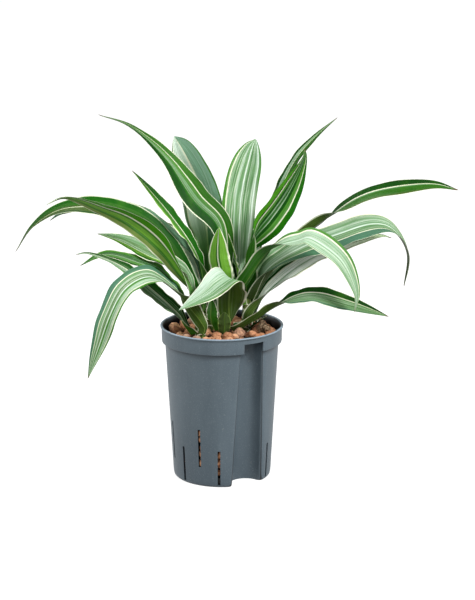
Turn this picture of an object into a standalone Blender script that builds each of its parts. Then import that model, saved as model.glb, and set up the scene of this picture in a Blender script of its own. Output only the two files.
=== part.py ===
"""A variegated dracaena in a slotted culture pot that is filled with expanded clay granules.

The frame has +Z up and its origin at the centre of the pot's base. The front is -Y and the
right-hand side is +X. The tables are in millimetres, and meshes are made in metres.
"""
import math
import random
from collections import namedtuple

import bmesh
import bpy
from mathutils import Matrix, Vector

MM = 0.001
GAP = 0.3

# Pot
POT_HEIGHT = 190.0
LIP_RADIUS = 75.0
BAND_RADIUS = 73.4
BODY_TOP_RADIUS = 69.3
BODY_FOOT_RADIUS = 60.2
FOOT_RADIUS = 57.0
WALL = 1.8
BAND_FOOT_Z = 170.0
FOOT_CORNER_Z = 8.0
FLOOR_Z = 8.5
FLOOR_THICKNESS = 2.4
FOOT_RING_WIDTH = 4.0
FOOT_RING_DRAFT = 0.6
FOOT_CORNER = (0.7, 1.5)
PAD_RADIUS = 24.0
PAD_DRAFT = 1.5
FLOOR_CORNER = 2.0
BAND_STEP = 1.2
BAND_DRAFT = 0.4
LIP_DEPTH = 2.2
LIP_ROLL = 1.0

# Recess for the water gauge: a round groove in the wall that is closed above by the rim
RECESS_ANGLE = math.radians(-57.5)
RECESS_TOP_Z = 181.0
RECESS_CENTRE = (53.0, 62.0)
RECESS_RADIUS = (19.6, 15.0)
RECESS_LIP_ROUND = 7.0
LEDGE_MOUTH = math.radians(8.5)
LEDGE_LIP = math.radians(5.5)
PAD_MOUTH = math.radians(70.0)
RECESS_STEPS = 14
LIP_STEPS = 4
WALL_STEPS = 44

# Slots, in two heights by turns, set out from the middle of the recess
SLOT_WIDTH = 3.4
SLOT_FIRST_ANGLE = math.radians(30.2)
SLOT_STEP = math.radians(22.6)
SLOT_COUNT = 14
LOW_SLOT_Z = (3.0, 47.0)
HIGH_SLOT_Z = (25.0, 73.0)
SLOT_REACH = (BODY_FOOT_RADIUS - 4.5, BODY_TOP_RADIUS)

# Granules
FILL_TOP_Z = 179.0
FILL_OFF_WALL = WALL + 2.5 * GAP
GRANULE_COUNT = 90
GRANULE_RADIUS = (5.4, 7.8)
GRANULE_SPACING = 0.97
GRANULE_TRIES = 6000
GRANULE_OFF_WALL = 1.2
GRANULE_REACH = 0.92
GRANULE_BURIED = (0.25, 0.5)
GRANULE_STRETCH = ((0.88, 1.0), (0.9, 1.08), (0.8, 0.95))
GRANULE_TILT = 0.5
GRANULE_SIDES = 8
GRANULE_BANDS = 6
GRANULE_SEED = 7

# Stems
STEM_FOOT_Z = 150.0
STEM_RADIUS = 7.6
STEM_TIP_SHARE = 0.53
STEM_SIDES = 10
STEM_CLEARANCE = 11.0
STEM_RING_PITCH = 14.0
STEM_FOOT_CHAMFER = 1.0
STEM_TIP_CHAMFER = 0.6
STEM_FOOT_GAP = 0.8
STEM_BORE_GAP = 3.0 * GAP
STEM_BORE_TOP_Z = 210.0
SCAR_DEPTH = 0.35
SCAR_WIDTH = 0.8

# Leaves
LEAF_THICKNESS = 0.9
LEAF_STATIONS = 13
SHEATH_STATIONS = 6
LEAF_COLUMNS = (-1.0, -0.5, 0.0, 0.5, 1.0)
BASE_FOLD = 42.0
TIP_FOLD = 12.0
UNFOLDED_AT = 0.45
UNFOLD_EASE = 0.7
WIDEST_AT = 0.48
BASE_SHARE = 0.3
CURVE_STEPS = 24

# A stem has its foot at (x, y), ends at the height `top` and leans by so much a millimetre.
Stem = namedtuple("Stem", "x y top lean_x lean_y")
STEMS = {
    "left": Stem(-24.0, -24.0, 233.0, -0.06, 0.0),
    "back": Stem(-14.0, 16.0, 239.0, -0.02, 0.06),
    "centre": Stem(2.5, -5.0, 235.0, -0.02, 0.0),
    "right": Stem(27.0, 8.0, 249.0, 0.06, 0.03),
}

# A leaf starts on its stem at the height `node` and its midrib runs through the points of
# `route`, in millimetres. `turn` holds the angles, evenly spaced from base to tip, by which
# its upper side is turned about the midrib toward the front. `base` is the width at the base
# as a share of the full width, a larger `blunt` keeps the blade broad nearer to its tip, and
# `stand` is how far outside the other leaf bases it wraps the stem.
Leaf = namedtuple("Leaf", "stem node width turn route base blunt stand", defaults=(0.5, 2.2, 0.0))
LEAVES = {
    "leaf_long_top_left": Leaf(
        "centre", 230, 34, (0, 20, 58, 55, 35, 15, 5),
        ((3, 12, 261), (-3, 15, 311), (-31, 20, 341), (-66, 27, 390), (-108, 34, 426), (-149, 40, 441)),
        0.42, 0.95),
    "leaf_broad_back_left": Leaf(
        "back", 236, 50, (0, 20, 60, 80, 70),
        ((-15, 30, 262), (-20, 40, 318), (-29, 48, 360), (-45, 57, 391), (-58, 67, 410)), 0.4, 4.5),
    "leaf_broad_centre": Leaf(
        "right", 242, 42, (0, 10, 15, 10, 0),
        ((21, 25, 264), (20, 28, 318), (25, 37, 355), (36, 50, 395), (42, 58, 408)), 0.34, 5.0),
    "leaf_dark_right": Leaf(
        "right", 226, 50, (0, 20, 75, 75, 60),
        ((29, -5, 258), (31, -2, 281), (42, 4, 301), (60, 11, 322), (82, 22, 353), (99, 33, 386),
         (101, 38, 400)), 0.34),
    "leaf_thin_top_right": Leaf(
        "right", 246, 17, (0, 10, 20, 20, 10),
        ((47, 28, 280), (65, 38, 332), (89, 46, 381), (113, 54, 409), (142, 62, 434)), 0.6),
    "leaf_long_far_right": Leaf(
        "right", 212, 27, (0, -30, -35, 25, 40, 35),
        ((56, 19, 243), (93, 16, 292), (141, 12, 327), (182, 6, 349), (247, -2, 361), (284, -6, 356)),
        0.4, 3.4),
    "leaf_broad_right": Leaf(
        "right", 219, 36, (0, 30, 50, 45, 0, -10),
        ((56, -3, 257), (96, -2, 282), (137, 0, 297), (181, 0, 311), (207, 0, 305), (224, 0, 277),
         (221, 0, 235)), 0.55, 2.2),
    "leaf_pale_arch_right": Leaf(
        "centre", 206, 32, (0, -30, -20, 20, 40, 40, 20),
        ((31, -26, 252), (57, -37, 290), (90, -39, 302), (108, -42, 305), (141, -54, 282),
         (158, -62, 246), (157, -65, 220)), 0.5),
    "leaf_pale_low_right": Leaf(
        "right", 193, 28, (0, 20, 30, 30, 20),
        ((38, -4, 206), (57, 1, 230), (95, 17, 258), (138, 26, 278), (190, 33, 291), (209, 35, 289)), 0.7),
    "leaf_low_right": Leaf(
        "centre", 184, 28, (0, -20, 30, 45, 40),
        ((22, -11, 187), (38, -15, 197), (70, -20, 219), (107, -30, 232), (150, -40, 225), (199, -52, 212)),
        0.8, 2.2, 5.3),
    "leaf_small_centre": Leaf(
        "centre", 217, 30, (0, 0, 0),
        ((1, -15, 245), (-4, -17, 275), (-4, -19, 296), (-3, -21, 315)), 0.55),
    "leaf_thin_centre": Leaf(
        "right", 213, 12, (0, 30, 30),
        ((20, -5, 249), (15, -8, 281), (8, -9, 305)), 0.8),
    "leaf_folded_front": Leaf(
        "centre", 187, 44, (0, -20, 15, 45, 40),
        ((9, -17, 199), (9, -27, 222), (10, -38, 248), (8, -46, 259), (-6, -54, 253), (-20, -62, 243),
         (-51, -79, 227)), 0.4, 1.2),
    "leaf_long_left": Leaf(
        "left", 210, 32, (0, 30, 60, 40, 20),
        ((-22, -37, 222), (-36, -42, 246), (-68, -46, 295), (-104, -51, 328), (-138, -53, 344),
         (-180, -55, 358), (-205, -58, 349)), 0.45, 2.2, 0.3),
    "leaf_far_left": Leaf(
        "left", 223, 34, (0, 40, 45, 20, 0),
        ((-39, -4, 244), (-67, 2, 288), (-97, 3, 316), (-143, -3, 334), (-190, -8, 334),
         (-225, -14, 314), (-247, -20, 284)), 0.45),
    "leaf_hidden_left": Leaf(
        "back", 220, 23, (0, 20, 35, 40),
        ((-42, 27, 274), (-95, 28, 320), (-150, 25, 331), (-190, 20, 325), (-209, 20, 314))),
    "leaf_olive_left": Leaf(
        "left", 230, 29, (0, 20, 35, 20),
        ((-46, -19, 260), (-85, -26, 282), (-119, -28, 300), (-148, -30, 309)), 0.3),
    "leaf_mid_left": Leaf(
        "left", 198, 22, (0, 20, 30, 20),
        ((-42, -32, 222), (-70, -39, 261), (-102, -43, 277), (-137, -47, 287), (-167, -57, 276)), 0.55),
    "leaf_thin_low_left": Leaf(
        "left", 184, 22, (0, 45, 60, 45, 20, 10),
        ((-45, -33, 197), (-54, -39, 213), (-84, -52, 245), (-119, -66, 277), (-153, -75, 294),
         (-170, -80, 295)), 0.95, 2.2, 4.0),
    "leaf_drooping_left": Leaf(
        "left", 185, 32, (0, -10, 20, 30, 20, 60, 30),
        ((-21, -34, 195), (-34, -43, 217), (-52, -63, 244), (-83, -82, 269), (-112, -97, 259),
         (-130, -107, 229), (-145, -112, 188), (-156, -116, 154)), 0.5, 2.2, 1.0),
    "leaf_thin_top_left": Leaf(
        "back", 228, 19, (0, 30, 40, 30),
        ((-25, 9, 260), (-38, 10, 289), (-65, 12, 327), (-96, 14, 364), (-108, 16, 377)), 0.6),
    "leaf_small_left": Leaf(
        "back", 200, 14, (0, 20, 30),
        ((-30, 9, 240), (-37, 12, 267), (-48, 14, 285)), 0.7),
    "leaf_rear_tall_left": Leaf(
        "back", 200, 34, (0, 0, 0),
        ((-8, 53, 285), (-17, 90, 325), (-26, 125, 330), (-28, 155, 305)), 0.3),
    "leaf_rear_tall_right": Leaf(
        "right", 205, 29, (0, 0, 0),
        ((24, 48, 276), (35, 85, 294), (42, 120, 296), (52, 150, 276)), 0.28),
    "leaf_rear_low_left": Leaf(
        "back", 195, 28, (0, 0, 0),
        ((-40, 44, 232), (-62, 84, 248), (-78, 112, 243), (-88, 128, 230)), 0.4),
    "leaf_rear_low_right": Leaf(
        "right", 187, 28, (0, 0, 0),
        ((58, 38, 232), (100, 66, 256), (135, 97, 256), (160, 114, 238)), 0.5),
    "leaf_rear_low": Leaf(
        "back", 188, 30, (0, 0, 0),
        ((6, 54, 231), (6, 105, 250), (10, 150, 240), (12, 180, 215)), 0.4),
    "leaf_rear_left": Leaf(
        "back", 216, 30, (0, 0, 0),
        ((-53, 39, 268), (-70, 90, 290), (-100, 122, 280), (-120, 145, 257)), 0.36),
    "leaf_rear_right": Leaf(
        "right", 198, 30, (0, 0, 0),
        ((52, 53, 250), (80, 92, 265), (112, 122, 257), (134, 142, 238)), 0.32),
    "sheath_front": Leaf(
        "centre", 183, 16, (0, 0), ((3, -21, 196), (3, -23, 211)), 1.0, 2.2, 5.5),
    "sheath_left": Leaf(
        "centre", 184, 22, (0, 0), ((-13, -13, 200), (-12, -14, 226)), 0.9, 2.2, 3.0),
    "sheath_right": Leaf(
        "right", 183, 24, (0, 10), ((42, -6, 192), (56, -10, 203)), 0.7),
}


def clear_scene():
    for thing in list(bpy.data.objects):
        bpy.data.objects.remove(thing, do_unlink=True)


def new_collection(name):
    collection = bpy.data.collections.new(name)
    bpy.context.scene.collection.children.link(collection)
    return collection


def material(name, colour, roughness):
    """A plain material, with its base colour in linear RGB."""
    made = bpy.data.materials.new(name)
    made.use_nodes = True
    shader = made.node_tree.nodes["Principled BSDF"]
    shader.inputs["Base Color"].default_value = (*colour, 1.0)
    shader.inputs["Roughness"].default_value = roughness
    shader.inputs["Metallic"].default_value = 0.0
    made.diffuse_color = (*colour, 1.0)
    return made


def mesh_object(name, mesh, collection, surface=None):
    thing = bpy.data.objects.new(name, mesh)
    collection.objects.link(thing)
    if surface:
        mesh.materials.append(surface)
    return thing


def finish_mesh(shape, name, smooth_angle=None):
    """Turn a bmesh in millimetres into a mesh in metres."""
    bmesh.ops.scale(shape, vec=(MM, MM, MM), verts=shape.verts)
    mesh = bpy.data.meshes.new(name)
    shape.to_mesh(mesh)
    shape.free()
    if smooth_angle is not None:
        mesh.shade_smooth()
        mesh.set_sharp_from_angle(angle=math.radians(smooth_angle))
    return mesh


def hide_cutter(cutter):
    cutter.hide_render = True
    cutter.display_type = "WIRE"


def cut(target, cutter, solver="EXACT"):
    modifier = target.modifiers.new("Cut", "BOOLEAN")
    modifier.operation = "DIFFERENCE"
    modifier.solver = solver
    modifier.object = cutter


# Pot


def mix(low, high, share):
    return low + (high - low) * share


def recess_at(z):
    """The distance of the recess's centre from the pot's axis, and its radius, at a height."""
    share = min(max(z / RECESS_TOP_Z, 0.0), 1.0)
    return mix(*RECESS_CENTRE, share), mix(*RECESS_RADIUS, share)


def wall_outline(radius, z, inset=0.0):
    """The pot's outline with its recess: a closed row of points that starts in the recess.

    `inset` moves it inward, square to the wall."""
    centre, groove = recess_at(z)
    outer = radius - inset
    groove += inset
    mouth = math.acos((outer ** 2 + centre ** 2 - groove ** 2) / (2.0 * outer * centre))
    corner = Vector((outer * math.cos(mouth), outer * math.sin(mouth)))
    mouth_turn = math.atan2(corner.y, corner.x - centre)
    groove_start = mouth_turn + RECESS_LIP_ROUND / groove
    wall_start = mouth + RECESS_LIP_ROUND / outer
    points = []
    for step in range(RECESS_STEPS + 1):
        turn = mix(2.0 * math.pi - groove_start, groove_start, step / RECESS_STEPS)
        points.append(Vector((centre + groove * math.cos(turn), groove * math.sin(turn))))
    wall = []
    for step in range(WALL_STEPS + 1):
        turn = mix(wall_start, 2.0 * math.pi - wall_start, step / WALL_STEPS)
        wall.append(Vector((outer * math.cos(turn), outer * math.sin(turn))))
    lip = []
    for step in range(1, LIP_STEPS):
        share = step / LIP_STEPS
        lip.append(points[-1].lerp(corner, share).lerp(corner.lerp(wall[0], share), share))
    far_lip = [Vector((p.x, -p.y)) for p in reversed(lip)]
    return points + lip + wall + far_lip


def round_outline(radius, mouth=LEDGE_MOUTH):
    """A full circle with as many points as the wall outline. Those that face the recess take
    up the angle `mouth` on either side of it, and those of its lips the angle LEDGE_LIP."""
    wall_start = mouth + LEDGE_LIP
    turns = [mix(-mouth, mouth, step / RECESS_STEPS) for step in range(RECESS_STEPS)]
    turns += [mix(mouth, wall_start, step / LIP_STEPS) for step in range(LIP_STEPS)]
    turns += [mix(wall_start, math.tau - wall_start, step / WALL_STEPS) for step in range(WALL_STEPS)]
    turns += [mix(math.tau - wall_start, math.tau - mouth, step / LIP_STEPS) for step in range(LIP_STEPS)]
    return [Vector((radius * math.cos(turn), radius * math.sin(turn))) for turn in turns]


def loft(rings):
    """A closed solid through rings of (outline, height), with a flat face at either end."""
    shape = bmesh.new()
    rows = [[shape.verts.new((p.x, p.y, z)) for p in outline] for outline, z in rings]
    for low, high in zip(rows, rows[1:]):
        for i in range(len(low)):
            j = (i + 1) % len(low)
            shape.faces.new((low[i], low[j], high[j], high[i]))
    shape.faces.new(list(reversed(rows[0])))
    shape.faces.new(rows[-1])
    turn = Matrix.Rotation(RECESS_ANGLE, 3, "Z")
    bmesh.ops.rotate(shape, matrix=turn, verts=shape.verts)
    bmesh.ops.recalc_face_normals(shape, faces=shape.faces)
    return shape


def pot_rings():
    """The pot's section, from the pad under its floor, out, up, over the lip and down inside."""
    corner_share, corner_z = FOOT_CORNER
    corner_radius = mix(FOOT_RADIUS, BODY_FOOT_RADIUS, corner_share)
    floor_top = FLOOR_Z + FLOOR_THICKNESS
    pad_inner = PAD_RADIUS - FLOOR_THICKNESS
    band_low = BAND_RADIUS - BAND_DRAFT
    lip_foot = POT_HEIGHT - LIP_DEPTH
    return [
        (round_outline(PAD_RADIUS - PAD_DRAFT, PAD_MOUTH), 0.0),
        (round_outline(PAD_RADIUS, PAD_MOUTH), FLOOR_Z),
        (wall_outline(FOOT_RADIUS, 0.0, FOOT_RING_WIDTH + FOOT_RING_DRAFT), FLOOR_Z),
        (wall_outline(FOOT_RADIUS, 0.0, FOOT_RING_WIDTH), 0.0),
        (wall_outline(FOOT_RADIUS, 0.0), 0.0),
        (wall_outline(corner_radius, corner_z), corner_z),
        (wall_outline(BODY_FOOT_RADIUS, FOOT_CORNER_Z), FOOT_CORNER_Z),
        (wall_outline(BODY_TOP_RADIUS, BAND_FOOT_Z), BAND_FOOT_Z - BAND_STEP),
        (wall_outline(band_low, BAND_FOOT_Z), BAND_FOOT_Z),
        (wall_outline(BAND_RADIUS, RECESS_TOP_Z), RECESS_TOP_Z),
        (round_outline(BAND_RADIUS), RECESS_TOP_Z + BAND_STEP),
        (round_outline(BAND_RADIUS), lip_foot - BAND_DRAFT),
        (round_outline(LIP_RADIUS - BAND_DRAFT), lip_foot),
        (round_outline(LIP_RADIUS), POT_HEIGHT - LIP_ROLL),
        (round_outline(LIP_RADIUS - LIP_ROLL), POT_HEIGHT),
        (round_outline(LIP_RADIUS - 2.0 * LIP_ROLL), POT_HEIGHT),
        (round_outline(LIP_RADIUS - 3.0 * LIP_ROLL), POT_HEIGHT - LIP_ROLL),
        (round_outline(BAND_RADIUS - WALL), RECESS_TOP_Z + BAND_STEP + WALL),
        (wall_outline(BAND_RADIUS, RECESS_TOP_Z, WALL), RECESS_TOP_Z + WALL),
        (wall_outline(band_low, BAND_FOOT_Z, WALL), BAND_FOOT_Z + WALL),
        (wall_outline(BODY_TOP_RADIUS, BAND_FOOT_Z, WALL), BAND_FOOT_Z + WALL - BAND_STEP),
        (wall_outline(BODY_FOOT_RADIUS, FOOT_CORNER_Z, WALL), floor_top + FLOOR_CORNER),
        (wall_outline(BODY_FOOT_RADIUS, FOOT_CORNER_Z, WALL + FLOOR_CORNER), floor_top),
        (round_outline(pad_inner, PAD_MOUTH), floor_top),
        (round_outline(pad_inner - PAD_DRAFT, PAD_MOUTH), FLOOR_THICKNESS),
    ]


def slot_places():
    """The angle of each slot, and whether it is one of the high ones. The two heights take
    turns from either end of the row, so the two slots opposite the recess are alike."""
    for index in range(SLOT_COUNT):
        from_end = min(index, SLOT_COUNT - 1 - index)
        yield RECESS_ANGLE + SLOT_FIRST_ANGLE + index * SLOT_STEP, from_end % 2 == 1


def slot_cutter(collection):
    """Upright blades that cut the slots through the wall only."""
    shape = bmesh.new()
    inner, outer = SLOT_REACH
    for angle, is_high in slot_places():
        foot, head = HIGH_SLOT_Z if is_high else LOW_SLOT_Z
        box = bmesh.ops.create_cube(shape, size=1.0)["verts"]
        bmesh.ops.scale(shape, vec=(outer - inner, SLOT_WIDTH, head - foot), verts=box)
        bmesh.ops.translate(shape, vec=((inner + outer) / 2.0, 0.0, (foot + head) / 2.0), verts=box)
        bmesh.ops.rotate(shape, matrix=Matrix.Rotation(angle, 3, "Z"), verts=box)
    cutter = mesh_object("slot_cutter", finish_mesh(shape, "slot_cutter"), collection)
    hide_cutter(cutter)
    return cutter


def make_pot(parts, cutters, surface):
    pot = mesh_object("pot", finish_mesh(loft(pot_rings()), "pot", smooth_angle=35.0), parts, surface)
    cut(pot, slot_cutter(cutters))
    return pot


# Granules


def fill_rings():
    """The bed of granules: it follows the inside of the pot with a small gap."""
    floor_top = FLOOR_Z + FLOOR_THICKNESS
    pad_inner = PAD_RADIUS - FLOOR_THICKNESS
    return [
        (round_outline(pad_inner - PAD_DRAFT - GAP, PAD_MOUTH), FLOOR_THICKNESS + GAP),
        (round_outline(pad_inner - 2.0 * GAP, PAD_MOUTH), floor_top + GAP),
        (wall_outline(BODY_FOOT_RADIUS, FOOT_CORNER_Z, FILL_OFF_WALL + FLOOR_CORNER), floor_top + GAP),
        (wall_outline(BODY_FOOT_RADIUS, FOOT_CORNER_Z, FILL_OFF_WALL), floor_top + FLOOR_CORNER + 2.0 * GAP),
        (wall_outline(BODY_TOP_RADIUS, BAND_FOOT_Z, FILL_OFF_WALL), BAND_FOOT_Z),
        (wall_outline(BODY_TOP_RADIUS, FILL_TOP_Z, FILL_OFF_WALL), FILL_TOP_Z),
    ]


def granule_spots(rng):
    """Places of the loose top granules: spread over the bed, clear of the wall, the recess and
    the stems."""
    spots = []
    inside = BODY_TOP_RADIUS - WALL - GRANULE_OFF_WALL
    centre, groove = recess_at(FILL_TOP_Z)
    recess = Vector((centre * math.cos(RECESS_ANGLE), centre * math.sin(RECESS_ANGLE)))
    recess_edge = groove + WALL + GRANULE_OFF_WALL
    stems = [Vector((stem.x, stem.y)) for stem in STEMS.values()]
    for _ in range(GRANULE_TRIES):
        radius = rng.uniform(*GRANULE_RADIUS)
        reach = radius * GRANULE_REACH
        spot = Vector((rng.uniform(-inside, inside), rng.uniform(-inside, inside)))
        if spot.length > inside - reach or (spot - recess).length < recess_edge + reach:
            continue
        if any((spot - stem).length < radius + STEM_CLEARANCE for stem in stems):
            continue
        if any((spot - other).length < GRANULE_SPACING * (radius + size) for other, size in spots):
            continue
        spots.append((spot, radius))
        if len(spots) == GRANULE_COUNT:
            break
    return spots


def granule(spot, radius, rng):
    """One lump of clay: a coarse ball, a little longer one way, at a random turn."""
    shape = bmesh.new()
    bmesh.ops.create_uvsphere(shape, u_segments=GRANULE_SIDES, v_segments=GRANULE_BANDS, radius=radius)
    stretch = [rng.uniform(low, high) for low, high in GRANULE_STRETCH]
    bmesh.ops.scale(shape, vec=stretch, verts=shape.verts)
    spin = Matrix.Rotation(rng.uniform(0.0, math.tau), 3, "Z")
    tilt = Matrix.Rotation(rng.uniform(-GRANULE_TILT, GRANULE_TILT), 3, "X")
    bmesh.ops.rotate(shape, matrix=spin @ tilt, verts=shape.verts)
    height = FILL_TOP_Z + radius * rng.uniform(*GRANULE_BURIED)
    bmesh.ops.translate(shape, vec=(spot.x, spot.y, height), verts=shape.verts)
    return shape


def make_granules(parts, cutters, surface):
    """The bed with its loose top layer joined on, and a plain hole for each stem."""
    rng = random.Random(GRANULE_SEED)
    bed = mesh_object("clay_granules", finish_mesh(loft(fill_rings()), "clay_granules"), parts, surface)
    loose = new_collection("loose_granules")
    for spot, radius in granule_spots(rng):
        mesh_object("granule", finish_mesh(granule(spot, radius, rng), "granule"), loose)
    join = bed.modifiers.new("Join", "BOOLEAN")
    join.operation = "UNION"
    join.solver = "MANIFOLD"
    join.operand_type = "COLLECTION"
    join.collection = loose
    cut(bed, stem_hole_cutter(cutters), "MANIFOLD")
    joined = bpy.data.meshes.new_from_object(bed.evaluated_get(bpy.context.evaluated_depsgraph_get()))
    bed.modifiers.clear()
    bed.data = joined
    joined.shade_smooth()
    joined.set_sharp_from_angle(angle=math.radians(50.0))
    for thing in list(loose.objects):
        bpy.data.objects.remove(thing, do_unlink=True)
    bpy.data.collections.remove(loose)
    return bed


# Stems


def stem_axis(stem, z):
    """The stem's middle at a height."""
    rise = z - STEM_FOOT_Z
    return Vector((stem.x + stem.lean_x * rise, stem.y + stem.lean_y * rise, z))


def stem_radius(stem, z):
    share = (z - STEM_FOOT_Z) / (stem.top - STEM_FOOT_Z)
    return STEM_RADIUS * mix(1.0, STEM_TIP_SHARE, min(max(share, 0.0), 1.0))


def stem_hole_cutter(collection):
    """A round bore for each stem, from its foot to well above the granules."""
    shape = bmesh.new()
    low = STEM_FOOT_Z - STEM_FOOT_GAP
    depth = STEM_BORE_TOP_Z - low
    for stem in STEMS.values():
        foot = stem_axis(stem, low)
        head = stem_axis(stem, STEM_BORE_TOP_Z)
        radius = STEM_RADIUS + STEM_BORE_GAP
        bore = bmesh.ops.create_cone(
            shape, cap_ends=True, segments=STEM_SIDES, radius1=radius, radius2=radius, depth=depth)["verts"]
        for vert in bore:
            middle = foot.lerp(head, vert.co.z / depth + 0.5)
            vert.co = middle + Vector((vert.co.x, vert.co.y, 0.0))
    cutter = mesh_object("stem_hole_cutter", finish_mesh(shape, "stem_hole_cutter"), collection)
    hide_cutter(cutter)
    return cutter


def make_stem(name, stem, parts, surface):
    """A short cane with the rings of old leaf scars, turned upright and then leaned over."""
    height = stem.top - STEM_FOOT_Z
    scars = int(height / STEM_RING_PITCH)
    profile = [(0.0, height), (stem_radius(stem, stem.top) - STEM_TIP_CHAMFER, height)]
    for scar in range(scars - 1, 0, -1):
        level = scar * STEM_RING_PITCH
        swell = stem_radius(stem, STEM_FOOT_Z + level)
        profile += [(swell, level + SCAR_WIDTH), (swell - SCAR_DEPTH, level - SCAR_WIDTH)]
    profile += [(STEM_RADIUS, STEM_FOOT_CHAMFER), (STEM_RADIUS - STEM_FOOT_CHAMFER, 0.0), (0.0, 0.0)]
    mesh = bpy.data.meshes.new(name)
    points = [(x * MM, 0.0, z * MM) for x, z in profile]
    mesh.from_pydata(points, [(i, i + 1) for i in range(len(points) - 1)], [])
    thing = mesh_object(name, mesh, parts, surface)
    turned = thing.modifiers.new("Turn", "SCREW")
    turned.steps = STEM_SIDES
    turned.render_steps = STEM_SIDES
    turned.use_merge_vertices = True
    turned.merge_threshold = 0.00001
    turned.use_smooth_shade = True
    thing.location = (stem.x * MM, stem.y * MM, STEM_FOOT_Z * MM)
    thing.rotation_euler = (-math.atan(stem.lean_y), math.atan(stem.lean_x), 0.0)
    return thing


# Leaves


def smooth_path(points, count):
    """Evenly spaced points along a smooth curve through the given ones."""
    first = points[0] * 2.0 - points[1]
    last = points[-1] * 2.0 - points[-2]
    knots = [first, *points, last]
    dense = []
    for a, b, c, d in zip(knots, knots[1:], knots[2:], knots[3:]):
        for step in range(CURVE_STEPS):
            t = step / CURVE_STEPS
            dense.append(0.5 * (2.0 * b + (c - a) * t + (2.0 * a - 5.0 * b + 4.0 * c - d) * t ** 2
                                + (3.0 * b - a - 3.0 * c + d) * t ** 3))
    dense.append(points[-1])
    lengths = [0.0]
    for a, b in zip(dense, dense[1:]):
        lengths.append(lengths[-1] + (b - a).length)
    even = []
    place = 0
    for step in range(count + 1):
        wanted = lengths[-1] * step / count
        while place < len(dense) - 2 and lengths[place + 1] < wanted:
            place += 1
        span = lengths[place + 1] - lengths[place]
        even.append(dense[place].lerp(dense[place + 1], (wanted - lengths[place]) / span))
    return even


def along(values, share):
    """Read a short row of values, evenly spaced from 0 to 1, with eased steps."""
    place = min(max(share, 0.0), 1.0) * (len(values) - 1)
    low = min(int(place), len(values) - 2)
    ease = place - low
    ease = ease * ease * (3.0 - 2.0 * ease)
    return mix(values[low], values[low + 1], ease)


def width_share(share, leaf):
    """The blade's width along its length: a narrow foot, a broad middle and a long point."""
    if share < WIDEST_AT:
        rise = math.sin(math.pi / 2.0 * share / WIDEST_AT)
        return mix(leaf.base, 1.0, rise)
    fall = (share - WIDEST_AT) / (1.0 - WIDEST_AT)
    return 1.0 - fall ** leaf.blunt


def fold_angle(share):
    """How far each half of the blade stands up from flat."""
    return math.radians(mix(BASE_FOLD, TIP_FOLD, min(share / UNFOLDED_AT, 1.0) ** UNFOLD_EASE))


def leaf_route(leaf):
    """The midrib's points: its base beside the stem, then the listed ones."""
    stem = STEMS[leaf.stem]
    middle = stem_axis(stem, leaf.node)
    toward = Vector(leaf.route[0]) - middle
    toward.z = 0.0
    rise = leaf.route[0][2] - leaf.node
    steep = rise / math.hypot(rise, toward.length)
    hug = math.atan(math.tan(math.radians(BASE_FOLD)) * steep)
    reach = (stem_radius(stem, leaf.node) + LEAF_THICKNESS / 2.0 + GAP) / math.cos(hug) + leaf.stand
    return [middle + toward.normalized() * reach, *(Vector(point) for point in leaf.route)]


def blade_side(leaf, points, share):
    """The level direction across the blade, on its front side. It is square to the stem at the
    base, and square to the way from base to tip further out."""
    toward = points[0] - stem_axis(STEMS[leaf.stem], leaf.node)
    heading = points[-1] - points[0]
    front = Vector((heading.y, -heading.x, 0.0)).normalized()
    if front.y > 0.0:
        front.negate()
    at_base = Vector((toward.y, -toward.x, 0.0)).normalized()
    if at_base.dot(front) < 0.0:
        at_base.negate()
    return at_base.lerp(front, along((0.0, 1.0), share / BASE_SHARE)).normalized()


def leaf_sheet(leaf, stations=LEAF_STATIONS, columns=LEAF_COLUMNS):
    """The blade as an open sheet of triangles that end in the tip."""
    points = leaf_route(leaf)
    path = smooth_path(points, stations)
    outward = points[0] - stem_axis(STEMS[leaf.stem], leaf.node)
    upward = 1.0 if blade_side(leaf, points, 0.0).cross(outward).z > 0.0 else -1.0
    shape = bmesh.new()
    rows = []
    for index, centre in enumerate(path[:-1]):
        share = index / stations
        tangent = (path[index + 1] - path[max(index - 1, 0)]).normalized()
        side = blade_side(leaf, points, share)
        side = (side - tangent * side.dot(tangent)).normalized()
        normal = side.cross(tangent) * upward
        turn = math.radians(along(leaf.turn, share))
        face = normal * math.cos(turn) + side * math.sin(turn)
        across = side * math.cos(turn) - normal * math.sin(turn)
        half = leaf.width / 2.0 * width_share(share, leaf)
        fold = fold_angle(share)
        rows.append([shape.verts.new(centre + across * half * column * math.cos(fold)
                                     + face * half * abs(column) * math.sin(fold)) for column in columns])
    tip = shape.verts.new(path[-1])
    middle = len(columns) // 2
    for low, high in zip(rows, rows[1:]):
        for i in range(len(columns) - 1):
            if i < middle:
                shape.faces.new((low[i], low[i + 1], high[i + 1]))
                shape.faces.new((low[i], high[i + 1], high[i]))
            else:
                shape.faces.new((low[i], low[i + 1], high[i]))
                shape.faces.new((low[i + 1], high[i + 1], high[i]))
    for i in range(len(columns) - 1):
        shape.faces.new((rows[-1][i], rows[-1][i + 1], tip))
    return shape


def make_leaf(name, leaf, parts, surface):
    stations = SHEATH_STATIONS if name.startswith("sheath") else LEAF_STATIONS
    mesh = finish_mesh(leaf_sheet(leaf, stations), name)
    mesh.shade_smooth()
    thing = mesh_object(name, mesh, parts, surface)
    blade = thing.modifiers.new("Blade", "SOLIDIFY")
    blade.thickness = LEAF_THICKNESS * MM
    blade.offset = 0.0
    return thing


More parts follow.
